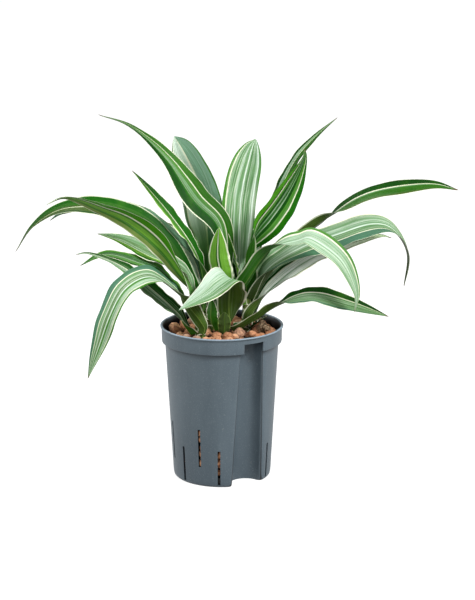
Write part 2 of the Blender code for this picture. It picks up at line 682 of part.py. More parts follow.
def build():
    clear_scene()
    parts = new_collection("potted_dracaena")
    cutters = new_collection("cutters")
    plastic = material("slate_plastic", (0.14, 0.18, 0.21), 0.5)
    clay = material("expanded_clay", (0.42, 0.17, 0.085), 0.95)
    cane = material("cane", (0.12, 0.16, 0.06), 0.7)
    blade = material("leaf", (0.16, 0.36, 0.14), 0.4)
    sheath = material("sheath", (0.05, 0.14, 0.04), 0.5)
    make_pot(parts, cutters, plastic)
    make_granules(parts, cutters, clay)
    for name, stem in STEMS.items():
        make_stem("stem_" + name, stem, parts, cane)
    for name, leaf in LEAVES.items():
        make_leaf(name, leaf, parts, sheath if name.startswith("sheath") else blade)


build()
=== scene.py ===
"""The looks of the potted dracaena: fine leaves, granules, pot, light and camera.

The leaves, stems and pot follow the same measurements as the CAD source, in millimetres, with
finer steps. Meshes are made in metres. The front is -Y and the right-hand side is +X.
"""
import math
import random
from collections import namedtuple

import bmesh
import bpy
from mathutils import Matrix, Vector, noise


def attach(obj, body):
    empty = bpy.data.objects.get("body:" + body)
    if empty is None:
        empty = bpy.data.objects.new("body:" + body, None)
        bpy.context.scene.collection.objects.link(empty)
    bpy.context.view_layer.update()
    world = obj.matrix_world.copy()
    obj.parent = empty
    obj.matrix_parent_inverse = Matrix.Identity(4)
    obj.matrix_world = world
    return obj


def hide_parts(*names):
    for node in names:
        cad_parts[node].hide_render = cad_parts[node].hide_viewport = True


MM = 0.001
# The clear gap between parts that would touch
GAP = 0.3

# Pot
POT_HEIGHT = 190.0
LIP_RADIUS = 75.0
BAND_RADIUS = 73.4
BODY_TOP_RADIUS = 69.3
BODY_FOOT_RADIUS = 60.2
FOOT_RADIUS = 57.0
WALL = 1.8
BAND_FOOT_Z = 170.0
FOOT_CORNER_Z = 8.0
FLOOR_Z = 8.5
FLOOR_THICKNESS = 2.4
FLOOR_TOP_Z = FLOOR_Z + FLOOR_THICKNESS
FLOOR_CORNER = 2.0
FOOT_RING_WIDTH = 4.0
FOOT_RING_DRAFT = 0.6
PAD_RADIUS = 24.0
PAD_DRAFT = 1.5
RECESS_ANGLE = math.radians(-57.5)
RECESS_TOP_Z = 181.0
RECESS_CENTRE = (53.0, 62.0)
RECESS_RADIUS = (19.6, 15.0)
RECESS_LIP_ROUND = 7.0
STEP_RISE = 1.2
LEDGE_MOUTH = math.radians(8.5)
LEDGE_LIP = math.radians(5.5)
PAD_MOUTH = math.radians(70.0)
RECESS_STEPS = 56
LIP_STEPS = 12
WALL_STEPS = 170
BAND_DRAFT = 0.4
# The curve of the foot: the share of the way out to the body's radius, and the height
FOOT_CURVE = ((-0.125, 0.0), (0.375, 0.45), (0.7, 1.5), (0.88, 4.0))
# The step under the band: the radius, and the height above the band's foot
BAND_STEP = (
    (BODY_TOP_RADIUS + 0.4, -1.1), (BAND_RADIUS - 1.0, -0.2), (BAND_RADIUS - 0.3, 0.3),
    (BAND_RADIUS - 0.1, 1.4),
)
# The rolled lip, from its outer foot over to its inner one: how far inside the lip's radius, and
# how far below the pot's top
LIP_ROLL = (
    (1.5, 2.9), (0.7, 2.5), (0.15, 1.9), (0.0, 1.1), (0.3, 0.4), (1.0, 0.0), (2.1, 0.0), (2.9, 0.4),
    (3.3, 1.3),
)
SLOT_WIDTH = 3.4
SLOT_FIRST_ANGLE = math.radians(30.2)
SLOT_STEP = math.radians(22.6)
SLOT_COUNT = 14
SLOT_CUT_INSIDE = 4.5
LOW_SLOT_Z = (3.0, 47.0)
HIGH_SLOT_Z = (25.0, 73.0)

# Where painted shade and a painted highlight make the plastic darker or paler. The corner under the band
# and the recess under its roof each have a height from which the painted shade reaches downward, and how
# far it reaches.
CREASE_DEPTH = 9.0
BAND_PAINTED_SHADE = (BAND_FOOT_Z - 0.9, CREASE_DEPTH - 0.9)
ROOF_PAINTED_SHADE = (RECESS_TOP_Z + 1.0, 24.0)
# Painted shade inside the pot: near-black from this far under the top, fading in over this height
INSIDE_SHADE_FROM_TOP = 1.0
INSIDE_SHADE_FADE = 3.0
# Painted highlight: the top of the lip is painted pale over this height
LIP_HIGHLIGHT_HEIGHT = 1.3
# A point counts as off the recess's wall, or as inside the pot, from this share of the wall's
# thickness on, and as off the recess over this height
OFF_RECESS_SHARE = 0.6
INSIDE_SHARE = 0.7
ROOF_TOP_Z = RECESS_TOP_Z + 2.0

# Granules
FILL_TOP_Z = 179.0
GRANULE_COUNT = 90
GRANULE_RADIUS = (5.4, 7.8)
GRANULE_TRIES = 6000
GRANULE_REACH = 0.92
GRANULE_BURIED = (0.25, 0.5)
GRANULE_STRETCH = ((0.88, 1.0), (0.9, 1.08), (0.8, 0.95))
GRANULE_TILT = 0.5
GRANULE_SEED = 7
# The dents of a lump: how close together they are, and how deep for its radius
LUMP_DENTS = ((1.1, 0.16), (2.6, 0.05))
LUMP_TINT = (0.2, 1.0)
LUMP_TILT = 0.8
SMALL_RADIUS = (3.0, 4.8)
SMALL_STRETCH = ((0.8, 1.0), (0.95, 1.25), (0.7, 0.9))
SMALL_LIFT = (-0.5, 0.3)
# The small lumps in the gaps take dark tints: partly their own colour, partly painted shade in the gaps
SMALL_TINT_AND_SHADE = (0.04, 0.4)
SMALL_TRIES = 9000
SMALL_AREA = 66.0
# The room that a lump needs to the wall, to the recess and to a stem's axis, and how close two
# lumps may come for the sum of their radii
Room = namedtuple("Room", "wall recess stem spacing")
GRANULE_ROOM = Room(1.2, 1.2, 11.0, 0.97)
SMALL_ROOM = Room(0.4, 0.5, 8.2, 0.8)
# Lumps that lie on the ledge over the recess: distance from the axis, swing in degrees, radius
LEDGE_LUMPS = ((48.0, -13.0, 4.2), (51.0, 15.0, 4.6), (63.0, -11.0, 3.6), (60.0, 12.0, 4.0))
LEDGE_LUMP_LIFT = 0.75
SLOT_LUMP_RADIUS = (4.2, 7.0)
SLOT_LUMP_SINK = (0.92, 1.1)
SLOT_LUMP_LIFT = 0.6
SLOT_LUMP_SWING = 0.03
SLOT_LUMP_STEP = (1.5, 2.1)
SLOT_LUMP_MARGIN = 3.0
SLOT_TINT = (0.5, 0.85)
# The bed under the loose granules: its gap to the wall at its foot, at the band and at its top
BED_GAPS = (7.0, 5.0, 1.5)
BED_OFF_FLOOR = 0.5
BED_TOP_Z = FILL_TOP_Z - 3.5

# Root stubs: the points of each, and its radius
ROOT_STUBS = (
    (((46, -10, 178), (47, -14, 189), (50, -19, 194), (54, -22, 190)), 4.4),
    (((53, 0, 178), (51, -6, 190), (47, -10, 197), (44, -12, 197)), 3.6),
    (((57, -14, 178), (56, -18, 188), (54, -24, 191)), 3.2),
)
ROOT_STEPS = 14
ROOT_SIDES = 12
ROOT_TIP_SHARE = 0.7
# How uneven a stub is, and how close its dents are round it and along it
ROOT_UNEVEN = 0.35
ROOT_DENTS = (1.7, 0.5)

# Stems
STEM_FOOT_Z = 150.0
STEM_RADIUS = 7.6
STEM_TIP_SHARE = 0.53
STEM_RINGS = 110
STEM_SIDES = 36
STEM_UNEVEN = 0.06
STEM_DENTS = (1.6, 0.09)
DOME_HEIGHT = 2.0
DOME_FALL = 4.4
DOME_LEAST = 0.02
WRAP_PITCH = 14.0
WRAP_SLANT = 3.5
WRAP_DEPTH = 0.12
WRAP_EDGE = 0.07

# Leaves
LEAF_THICKNESS = 0.9
LEAF_STATIONS = 84
SHEATH_STATIONS = 36
LEAF_COLUMNS = 22
CURVE_STEPS = 60
BASE_FOLD = 42.0
TIP_FOLD = 12.0
UNFOLDED_AT = 0.45
UNFOLD_EASE = 0.7
WIDEST_AT = 0.48
BASE_SHARE = 0.3
# How round the keel of the fold is at the base and at the tip, as a share of half the width
KEEL_ROUND = (0.1, 0.35)
# The waves of the margins: how many, how high, how far apart in phase the two margins are, the
# strength and quickness of a second beat over the first, the power with which they grow toward
# the margin, and how much sooner than the blade they end
WAVE_COUNT = (3.0, 5.5)
WAVE_HEIGHT = (0.7, 1.4)
WAVE_SIDE_PHASE = 1.3
WAVE_SECOND = (0.45, 2.3)
WAVE_TO_MARGIN = 2.5
WAVE_PACE = 1.2
WAVE_SEED = 3
# Half the thickness of the blade at its margins and its middle, and the rib under the middle
HALF_SKIN = (0.1, 0.32)
SKIN_EASE = 0.6
RIB_DEPTH = 0.35
RIB_HALF_WIDTH = 1.1

Stem = namedtuple("Stem", "x y top lean_x lean_y")
STEMS = {
    "left": Stem(-24.0, -24.0, 233.0, -0.06, 0.0),
    "back": Stem(-14.0, 16.0, 239.0, -0.02, 0.06),
    "centre": Stem(2.5, -5.0, 235.0, -0.02, 0.0),
    "right": Stem(27.0, 8.0, 249.0, 0.06, 0.03),
}
STEM_PLACES = [Vector((stem.x, stem.y)) for stem in STEMS.values()]

# A leaf starts on its stem at the height `node` and its midrib runs through the points of
# `route`, in millimetres. `turn` holds the angles, evenly spaced from base to tip, by which
# its upper side is turned about the midrib toward the front. `base` is the width at the base
# as a share of the full width, a larger `blunt` keeps the blade broad nearer to its tip, and
# `stand` is how far outside the other leaf bases it wraps the stem.
Leaf = namedtuple("Leaf", "stem node width turn route base blunt stand", defaults=(0.5, 2.2, 0.0))
LEAVES = {
    "leaf_long_top_left": Leaf(
        "centre", 230, 34, (0, 20, 58, 55, 35, 15, 5),
        ((3, 12, 261), (-3, 15, 311), (-31, 20, 341), (-66, 27, 390), (-108, 34, 426), (-149, 40, 441)),
        0.42, 0.95),
    "leaf_broad_back_left": Leaf(
        "back", 236, 50, (0, 20, 60, 80, 70),
        ((-15, 30, 262), (-20, 40, 318), (-29, 48, 360), (-45, 57, 391), (-58, 67, 410)), 0.4, 4.5),
    "leaf_broad_centre": Leaf(
        "right", 242, 42, (0, 10, 15, 10, 0),
        ((21, 25, 264), (20, 28, 318), (25, 37, 355), (36, 50, 395), (42, 58, 408)), 0.34, 5.0),
    "leaf_dark_right": Leaf(
        "right", 226, 50, (0, 20, 75, 75, 60),
        ((29, -5, 258), (31, -2, 281), (42, 4, 301), (60, 11, 322), (82, 22, 353), (99, 33, 386),
         (101, 38, 400)), 0.34),
    "leaf_thin_top_right": Leaf(
        "right", 246, 17, (0, 10, 20, 20, 10),
        ((47, 28, 280), (65, 38, 332), (89, 46, 381), (113, 54, 409), (142, 62, 434)), 0.6),
    "leaf_long_far_right": Leaf(
        "right", 212, 27, (0, -30, -35, 25, 40, 35),
        ((56, 19, 243), (93, 16, 292), (141, 12, 327), (182, 6, 349), (247, -2, 361), (284, -6, 356)),
        0.4, 3.4),
    "leaf_broad_right": Leaf(
        "right", 219, 36, (0, 30, 50, 45, 0, -10),
        ((56, -3, 257), (96, -2, 282), (137, 0, 297), (181, 0, 311), (207, 0, 305), (224, 0, 277),
         (221, 0, 235)), 0.55, 2.2),
    "leaf_pale_arch_right": Leaf(
        "centre", 206, 32, (0, -30, -20, 20, 40, 40, 20),
        ((31, -26, 252), (57, -37, 290), (90, -39, 302), (108, -42, 305), (141, -54, 282),
         (158, -62, 246), (157, -65, 220)), 0.5),
    "leaf_pale_low_right": Leaf(
        "right", 193, 28, (0, 20, 30, 30, 20),
        ((38, -4, 206), (57, 1, 230), (95, 17, 258), (138, 26, 278), (190, 33, 291), (209, 35, 289)), 0.7),
    "leaf_low_right": Leaf(
        "centre", 184, 28, (0, -20, 30, 45, 40),
        ((22, -11, 187), (38, -15, 197), (70, -20, 219), (107, -30, 232), (150, -40, 225), (199, -52, 212)),
        0.8, 2.2, 5.3),
    "leaf_small_centre": Leaf(
        "centre", 217, 30, (0, 0, 0),
        ((1, -15, 245), (-4, -17, 275), (-4, -19, 296), (-3, -21, 315)), 0.55),
    "leaf_thin_centre": Leaf(
        "right", 213, 12, (0, 30, 30),
        ((20, -5, 249), (15, -8, 281), (8, -9, 305)), 0.8),
    "leaf_folded_front": Leaf(
        "centre", 187, 44, (0, -20, 15, 45, 40),
        ((9, -17, 199), (9, -27, 222), (10, -38, 248), (8, -46, 259), (-6, -54, 253), (-20, -62, 243),
         (-51, -79, 227)), 0.4, 1.2),
    "leaf_long_left": Leaf(
        "left", 210, 32, (0, 30, 60, 40, 20),
        ((-22, -37, 222), (-36, -42, 246), (-68, -46, 295), (-104, -51, 328), (-138, -53, 344),
         (-180, -55, 358), (-205, -58, 349)), 0.45, 2.2, 0.3),
    "leaf_far_left": Leaf(
        "left", 223, 34, (0, 40, 45, 20, 0),
        ((-39, -4, 244), (-67, 2, 288), (-97, 3, 316), (-143, -3, 334), (-190, -8, 334),
         (-225, -14, 314), (-247, -20, 284)), 0.45),
    "leaf_hidden_left": Leaf(
        "back", 220, 23, (0, 20, 35, 40),
        ((-42, 27, 274), (-95, 28, 320), (-150, 25, 331), (-190, 20, 325), (-209, 20, 314))),
    "leaf_olive_left": Leaf(
        "left", 230, 29, (0, 20, 35, 20),
        ((-46, -19, 260), (-85, -26, 282), (-119, -28, 300), (-148, -30, 309)), 0.3),
    "leaf_mid_left": Leaf(
        "left", 198, 22, (0, 20, 30, 20),
        ((-42, -32, 222), (-70, -39, 261), (-102, -43, 277), (-137, -47, 287), (-167, -57, 276)), 0.55),
    "leaf_thin_low_left": Leaf(
        "left", 184, 22, (0, 45, 60, 45, 20, 10),
        ((-45, -33, 197), (-54, -39, 213), (-84, -52, 245), (-119, -66, 277), (-153, -75, 294),
         (-170, -80, 295)), 0.95, 2.2, 4.0),
    "leaf_drooping_left": Leaf(
        "left", 185, 32, (0, -10, 20, 30, 20, 60, 30),
        ((-21, -34, 195), (-34, -43, 217), (-52, -63, 244), (-83, -82, 269), (-112, -97, 259),
         (-130, -107, 229), (-145, -112, 188), (-156, -116, 154)), 0.5, 2.2, 1.0),
    "leaf_thin_top_left": Leaf(
        "back", 228, 19, (0, 30, 40, 30),
        ((-25, 9, 260), (-38, 10, 289), (-65, 12, 327), (-96, 14, 364), (-108, 16, 377)), 0.6),
    "leaf_small_left": Leaf(
        "back", 200, 14, (0, 20, 30),
        ((-30, 9, 240), (-37, 12, 267), (-48, 14, 285)), 0.7),
    "leaf_rear_tall_left": Leaf(
        "back", 200, 34, (0, 0, 0),
        ((-8, 53, 285), (-17, 90, 325), (-26, 125, 330), (-28, 155, 305)), 0.3),
    "leaf_rear_tall_right": Leaf(
        "right", 205, 29, (0, 0, 0),
        ((24, 48, 276), (35, 85, 294), (42, 120, 296), (52, 150, 276)), 0.28),
    "leaf_rear_low_left": Leaf(
        "back", 195, 28, (0, 0, 0),
        ((-40, 44, 232), (-62, 84, 248), (-78, 112, 243), (-88, 128, 230)), 0.4),
    "leaf_rear_low_right": Leaf(
        "right", 187, 28, (0, 0, 0),
        ((58, 38, 232), (100, 66, 256), (135, 97, 256), (160, 114, 238)), 0.5),
    "leaf_rear_low": Leaf(
        "back", 188, 30, (0, 0, 0),
        ((6, 54, 231), (6, 105, 250), (10, 150, 240), (12, 180, 215)), 0.4),
    "leaf_rear_left": Leaf(
        "back", 216, 30, (0, 0, 0),
        ((-53, 39, 268), (-70, 90, 290), (-100, 122, 280), (-120, 145, 257)), 0.36),
    "leaf_rear_right": Leaf(
        "right", 198, 30, (0, 0, 0),
        ((52, 53, 250), (80, 92, 265), (112, 122, 257), (134, 142, 238)), 0.32),
    "sheath_front": Leaf(
        "centre", 183, 16, (0, 0), ((3, -21, 196), (3, -23, 211)), 1.0, 2.2, 5.5),
    "sheath_left": Leaf(
        "centre", 184, 22, (0, 0), ((-13, -13, 200), (-12, -14, 226)), 0.9, 2.2, 3.0),
    "sheath_right": Leaf(
        "right", 183, 24, (0, 10), ((42, -6, 192), (56, -10, 203)), 0.7),
}

# Leaf colours, each with how strongly pale streaks show on it
COLOURS = {
    # deep is painted shadow: the near-black band where a blade folds
    "deep": ((8, 40, 4), 0.0),
    "dark": ((14, 72, 6), 0.0),
    "vivid": ((24, 98, 2), 0.0),
    "lime": ((70, 146, 10), 0.0),
    "veined": ((24, 90, 8), 0.3),
    "leafy": ((46, 106, 16), 0.04),
    "green": ((68, 130, 36), 0.15),
    "bright": ((116, 174, 56), 0.1),
    "moss": ((92, 130, 76), 0.5),
    "teal": ((78, 124, 98), 0.04),
    "dusty": ((120, 164, 134), 0.15),
    "sage": ((108, 150, 102), 0.6),
    "mint": ((152, 184, 152), 0.6),
    "pale": ((188, 210, 190), 0.4),
    "white": ((224, 240, 226), 0.2),
    "chalk": ((246, 254, 244), 0.2),
    "cream": ((248, 248, 224), 0.0),
    "light": ((134, 158, 82), 0.0),
    "olive": ((70, 98, 28), 0.06),
    "brown": ((62, 82, 36), 0.04),
}


def underside(colour, far=6, near=6):
    """The bands of a plain underside, with a lighter midrib between its pale margins."""
    return f"cream {far}, {colour} 43, light 3, {colour} 44, cream {near}"


# A leaf's look: the bands of colour across its upper side, each with its share of the width, from its far
# margin to its near one, how strong its fine pale streaks are, the bands of its underside, how much darker
# its point is, and how strongly painted shade darkens its foot
Look = namedtuple("Look", "bands streak under tip foot", defaults=(0.8, underside("olive"), 0.3, 0.2))
STRIPED = Look(
    "cream 2, dark 15, cream 2, sage 29, pale 4, sage 29, cream 2, vivid 15, cream 2", 0.8,
    underside("green"))
LOOKS = {
    "leaf_long_top_left": Look(
        "cream 2, leafy 26, cream 3, green 14, sage 10, moss 6, vivid 6, dark 30, cream 3", 0.8,
        underside("green"), 0.7, 0.3),
    "leaf_broad_back_left": Look(
        "green 4, dusty 45, cream 5, pale 20, white 17, cream 3, sage 6", 0.8, underside("green"), 0.0,
        1.0),
    "leaf_broad_centre": Look(
        "green 9, cream 3, sage 23, pale 3, sage 14, white 3, sage 24, mint 7, white 5, sage 6, "
        "green 3", 1.0, underside("green"), 0.0),
    # Its deep band is painted shadow beside the fold.
    "leaf_dark_right": Look(
        "vivid 18, cream 3, green 13, dark 10, sage 2, veined 10, sage 3, dark 9, green 9, cream 3, "
        "deep 5, lime 18", 0.6, underside("leafy"), 0.4),
    "leaf_thin_top_right": Look(
        "cream 3, dark 18, mint 24, cream 4, leafy 32, dark 18, cream 3", 0.8, underside("green"), 0.8),
    "leaf_long_far_right": Look(
        "cream 1, dark 30, cream 5, sage 6, leafy 42, olive 13, cream 3", 0.8, underside("olive"), 0.5),
    "leaf_broad_right": Look(
        "cream 3, sage 16, mint 20, white 4, sage 22, cream 3, teal 32, cream 1", 0.9, underside("brown"),
        0.5),
    "leaf_pale_arch_right": Look(
        "green 11, cream 6, mint 32, white 6, mint 37, sage 6, cream 3", 1.0, underside("leafy", 5, 5)),
    "leaf_pale_low_right": Look(
        "dark 10, cream 4, chalk 30, mint 10, chalk 32, green 5, cream 9", 1.0, underside("olive", 5, 5),
        0.9, 0.0),
    "leaf_low_right": Look(
        "cream 2, dark 26, cream 4, sage 32, sage 22, teal 11, cream 3", 0.8, underside("olive", 3, 3),
        0.7),
    "leaf_small_centre": Look(
        "cream 6, bright 34, green 9, light 4, green 7, bright 34, cream 6", 0.3,
        "cream 7, bright 32, leafy 8, cream 4, leafy 8, bright 34, cream 7", 0.0, 0.0),
    "leaf_thin_centre": Look("cream 12, bright 76, cream 12", 0.3, underside("bright", 10, 10)),
    "leaf_folded_front": Look(
        "cream 3, pale 30, mint 36, sage 20, green 7, cream 3", 1.0, underside("olive", 5, 6), 0.0),
    "leaf_long_left": Look(
        "cream 3, light 16, green 12, bright 19, green 9, cream 8, lime 30, cream 3", 0.8,
        underside("green"), 0.1, 0.0),
    "leaf_far_left": Look(
        "cream 3, vivid 18, leafy 18, olive 9, cream 4, olive 30, dark 13, cream 5", 0.6,
        underside("olive"), 1.0, 0.5),
    "leaf_hidden_left": Look("cream 3, dusty 40, teal 30, dark 21, cream 6", 0.5, underside("dark")),
    "leaf_olive_left": Look(
        "cream 3, sage 28, moss 16, sage 14, cream 3, bright 20, vivid 12, cream 5", 0.8),
    "leaf_mid_left": Look("cream 3, green 16, veined 26, sage 6, green 28, dark 17, cream 5", 0.7),
    "leaf_thin_low_left": Look(
        "cream 3, dark 14, veined 22, cream 4, mint 12, veined 3, mint 12, veined 3, sage 23, cream 4",
        0.9, underside("leafy")),
    "leaf_drooping_left": Look(
        "teal 18, cream 3, sage 13, pale 4, moss 14, white 5, green 10, mint 20, cream 4, green 9", 1.0,
        underside("olive", 4, 9), 0.4),
    "leaf_thin_top_left": Look(
        "cream 3, vivid 45, cream 5, green 30, bright 12, cream 6", 0.5, underside("green"), 1.0),
    "leaf_small_left": Look("cream 8, pale 84, cream 8", 0.6),
    "sheath_front": Look(
        "light 2, olive 96, light 2", 0.3, "light 3, brown 44, olive 4, brown 46, light 3", 0.0, 0.0),
    "sheath_left": Look("cream 9, leafy 86, cream 5", 0.2, underside("leafy", 9, 5), 0.0),
    "sheath_right": Look("cream 4, dark 92, cream 4", 0.2, underside("dark", 4, 4), 0.0),
}

# Fine lines along a leaf: a factor for their seed, how many lie side by side, how often they
# change along it, and the noise values between which they fade in
Lines = namedtuple("Lines", "seed count changes low high")
BROAD_LINES = Lines(1.7, 7.0, 1.2, 0.46, 0.68)
THIN_LINES = Lines(1.3, 20.0, 2.2, 0.52, 0.64)
DEEP_LINES = Lines(2.9, 13.0, 1.8, 0.49, 0.35)
FINE_LINES = Lines(2.3, 42.0, 6.0, 0.3, 0.7)
LINES_SEED_STEP = 3.7
BAND_SOFTNESS = 0.012
UNDER_SOFTNESS = 0.02
BAND_WANDER = 0.07
WANDER_CHANGES = 3.5
# What a leaf's colour is multiplied by in its dark lines, at its point, and at its foot as painted shade
DEEP_SHADE = (0.2, 0.42, 0.16, 1.0)
TIP_SHADE = (0.42, 0.52, 0.3, 1.0)
FOOT_PAINTED_SHADE = (0.16, 0.34, 0.1, 1.0)

# The sky's grey from straight below, at 0, over the horizon, at 0.5, to straight above
SKY = (
    (0.0, (0.12, 0.12, 0.12, 1.0)), (0.47, (0.2, 0.2, 0.2, 1.0)), (0.56, (0.42, 0.42, 0.42, 1.0)),
    (1.0, (0.7, 0.7, 0.7, 1.0)),
)
# Lights: name, place in metres, width in metres, and power in watts
LIGHTS = (
    ("key", (1.8, -1.7, 2.2), 0.8, 98.0),
    ("fill", (-1.1, -2.4, 1.0), 1.6, 22.0),
    ("side", (-2.0, 0.4, 1.0), 0.9, 24.0),
    ("back", (-0.2, 1.9, 2.0), 1.2, 16.0),
)
LIGHT_AIM = Vector((0.0, 0.0, 0.25))

# The photograph's camera: its place in millimetres, its turn and tilt in degrees, and its lens
CAMERA_PLACE = (0.0, -2200.0, 772.0)
CAMERA_YAW = 0.498
CAMERA_PITCH = -14.089
SENSOR = 36.0
LENS = 1868.0 * SENSOR / 600.0
FLOOR_SIZE = 20000.0
FLOOR_GLOW = 0.82


def mix(low, high, share):
    return low + (high - low) * share


def clamped(value):
    return min(max(value, 0.0), 1.0)


def polar(radius, turn):
    return Vector((radius * math.cos(turn), radius * math.sin(turn)))


# Materials


class Signal:
    """A node's output. Adding, taking away and multiplying put Math nodes behind it."""

    def __init__(self, tree, socket):
        self.tree = tree
        self.socket = socket

    def calc(self, operation, other):
        return node(self.tree, "ShaderNodeMath", 0, {0: self, 1: other}, operation=operation)

    def __add__(self, other):
        return self.calc("ADD", other)

    def __sub__(self, other):
        return self.calc("SUBTRACT", other)

    def __mul__(self, other):
        return self.calc("MULTIPLY", other)


def node(tree, kind, output, sockets=None, **settings):
    """Add a node and return one output. `sockets` maps its inputs to values or signals."""
    made = tree.nodes.new(kind)
    for key, value in settings.items():
        setattr(made, key, value)
    for key, value in (sockets or {}).items():
        if isinstance(value, Signal):
            tree.links.new(value.socket, made.inputs[key])
        else:
            made.inputs[key].default_value = value
    return Signal(tree, made.outputs[output])


def attribute(tree, name):
    return node(tree, "ShaderNodeAttribute", "Fac", attribute_name=name)


def object_space(tree):
    return node(tree, "ShaderNodeTexCoord", "Object")


def height_of(space):
    return node(space.tree, "ShaderNodeSeparateXYZ", "Z", {0: space})


def stretched(space, scale):
    return node(space.tree, "ShaderNodeMapping", 0, {"Vector": space, "Scale": scale})


def noise_at(space, scale, detail=2.0, roughness=0.5):
    return node(space.tree, "ShaderNodeTexNoise", "Fac", {
        "Vector": space, "Scale": scale, "Detail": detail, "Roughness": roughness})


def rise(value, low, high):
    """0 up to `low` and 1 from `high`, with a smooth step between."""
    return node(value.tree, "ShaderNodeMapRange", "Result", {
        "Value": value, "From Min": low, "From Max": high}, interpolation_type="SMOOTHSTEP")


def spread(value, low, high):
    """A value from 0 to 1, made to run from `low` to `high`."""
    return node(value.tree, "ShaderNodeMapRange", "Result", {
        "Value": value, "To Min": low, "To Max": high})


def linear(colour):
    """A display colour of three values up to 255, as linear RGBA."""
    parts = [value / 255.0 for value in colour]
    return (*(p / 12.92 if p <= 0.04045 else ((p + 0.055) / 1.055) ** 2.4 for p in parts), 1.0)


def blend_colour(share, first, second, kind="MIX"):
    sockets = {0: share, 6: first, 7: second}
    return node(first.tree, "ShaderNodeMix", 2, sockets, data_type="RGBA", blend_type=kind)


def tinted(colour, share, toward):
    """The colour, mixed by `share` with a display colour."""
    return blend_colour(share, colour, linear(toward))


def shaded(colour, share, factors):
    """The colour, multiplied by a linear colour where `share` is 1."""
    return blend_colour(share, colour, factors, "MULTIPLY")


def ramp_outputs(value, stops):
    """The colour and the alpha of a ramp through stops of (place, linear RGBA)."""
    tree = value.tree
    made = tree.nodes.new("ShaderNodeValToRGB")
    tree.links.new(value.socket, made.inputs["Fac"])
    elements = made.color_ramp.elements
    while len(elements) < len(stops):
        elements.new(1.0)
    for element, (place, colour) in zip(elements, stops):
        element.position = place
        element.color = colour
    return Signal(tree, made.outputs["Color"]), Signal(tree, made.outputs["Alpha"])


def ramp(value, stops):
    """A ramp through display colours."""
    return ramp_outputs(value, [(place, linear(colour)) for place, colour in stops])[0]


def new_material(name, roughness, specular):
    made = bpy.data.materials.new(name)
    made.use_nodes = True
    shader = made.node_tree.nodes["Principled BSDF"]
    shader.inputs["Roughness"].default_value = roughness
    shader.inputs["Specular IOR Level"].default_value = specular
    return made, made.node_tree


def finish_surface(made, colour, height=None, strength=0.0, depth=0.0, rough=None):
    """Link up the colour, a bump from `height` that is `depth` metres deep, and a roughness."""
    tree = made.node_tree
    inputs = tree.nodes["Principled BSDF"].inputs
    tree.links.new(colour.socket, inputs["Base Color"])
    if height is not None:
        bump = node(tree, "ShaderNodeBump", 0, {"Strength": strength, "Distance": depth, "Height": height})
        tree.links.new(bump.socket, inputs["Normal"])
    if rough is not None:
        tree.links.new(rough.socket, inputs["Roughness"])
    return made


def leaf_colour(name):
    """A leaf colour as linear RGBA, with its share of streaks for alpha."""
    shown, streaky = COLOURS[name]
    return (*linear(shown)[:3], streaky)


def band_stops(bands, softness):
    """Two ramp stops for each band, with a narrow soft edge between bands."""
    pairs = [band.split() for band in bands.split(", ")]
    total = sum(int(share) for _, share in pairs)
    stops = []
    place = 0.0
    for colour, share in pairs:
        width = int(share) / total
        edge = min(softness, width * 0.3)
        stops.append((min(place + edge, 1.0), leaf_colour(colour)))
        stops.append((place + width - edge, leaf_colour(colour)))
        place += width
    return stops


def streaks(across, along_leaf, seed, lines):
    """Fine lines that run along a blade."""
    place = node(across.tree, "ShaderNodeCombineXYZ", 0, {
        0: across * lines.count, 1: along_leaf * lines.changes, 2: seed * lines.seed})
    return rise(noise_at(place, 1.0, 3.0, 0.6), lines.low, lines.high)


def banded(look, across, along_leaf, under, seed):
    """The bands of a leaf's two sides, whose edges wander a little, and how streaky they are."""
    wander_at = node(across.tree, "ShaderNodeCombineXYZ", 0, {0: along_leaf * WANDER_CHANGES, 1: seed})
    place = across * 0.5 + 0.5 + (noise_at(wander_at, 1.0) - 0.5) * BAND_WANDER
    upper, upper_streaks = ramp_outputs(place, band_stops(look.bands, BAND_SOFTNESS))
    lower, lower_streaks = ramp_outputs(place, band_stops(look.under, UNDER_SOFTNESS))
    streaky = upper_streaks + (lower_streaks - upper_streaks) * under
    return blend_colour(under, upper, lower), streaky * look.streak


def leaf_material(name, look, seed):
    """Bands of colour along the blade, fine pale and dark lines, a plainer underside, and painted shade at
    its foot.
    """
    made, tree = new_material(name, roughness=0.45, specular=0.1)
    across, along_leaf, under = (attribute(tree, key) for key in ("across", "along", "under"))
    broad, thin, deep, fine = (streaks(across, along_leaf, seed, lines)
                               for lines in (BROAD_LINES, THIN_LINES, DEEP_LINES, FINE_LINES))
    colour, streaky = banded(look, across, along_leaf, under, seed)
    colour = tinted(colour, broad * streaky * 0.7, (200, 222, 200))
    colour = tinted(colour, thin * streaky, (236, 243, 226))
    colour = shaded(colour, deep * (streaky * 0.7 + 0.35), DEEP_SHADE)
    tone = spread(fine, 0.84, 1.12)
    colour = shaded(colour, 1.0, node(tree, "ShaderNodeCombineColor", 0, {0: tone, 1: tone, 2: tone}))
    space = object_space(tree)
    patches = rise(noise_at(space, 38.0, 3.0, 0.6), 0.5, 0.75)
    colour = tinted(colour, patches * 0.16, (84, 150, 12))
    spots = rise(noise_at(space, 420.0), 0.68, 0.78)
    colour = tinted(colour, spots * 0.3, (58, 74, 30))
    colour = shaded(colour, rise(along_leaf, 0.5, 0.92) * look.tip, TIP_SHADE)
    # Painted shade: the foot of the blade darker, near the stem.
    colour = shaded(colour, rise(along_leaf, 0.6, 0.2) * look.foot, FOOT_PAINTED_SHADE)
    dry = rise(along_leaf + (fine - 0.5) * 0.02, 0.972, 0.99)
    colour = tinted(colour, dry * min(look.tip * 2.0, 1.0), (92, 70, 38))
    height = thin * 0.6 + fine * 0.4
    return finish_surface(made, colour, height, strength=0.4, depth=0.0005, rough=spread(fine, 0.38, 0.55))


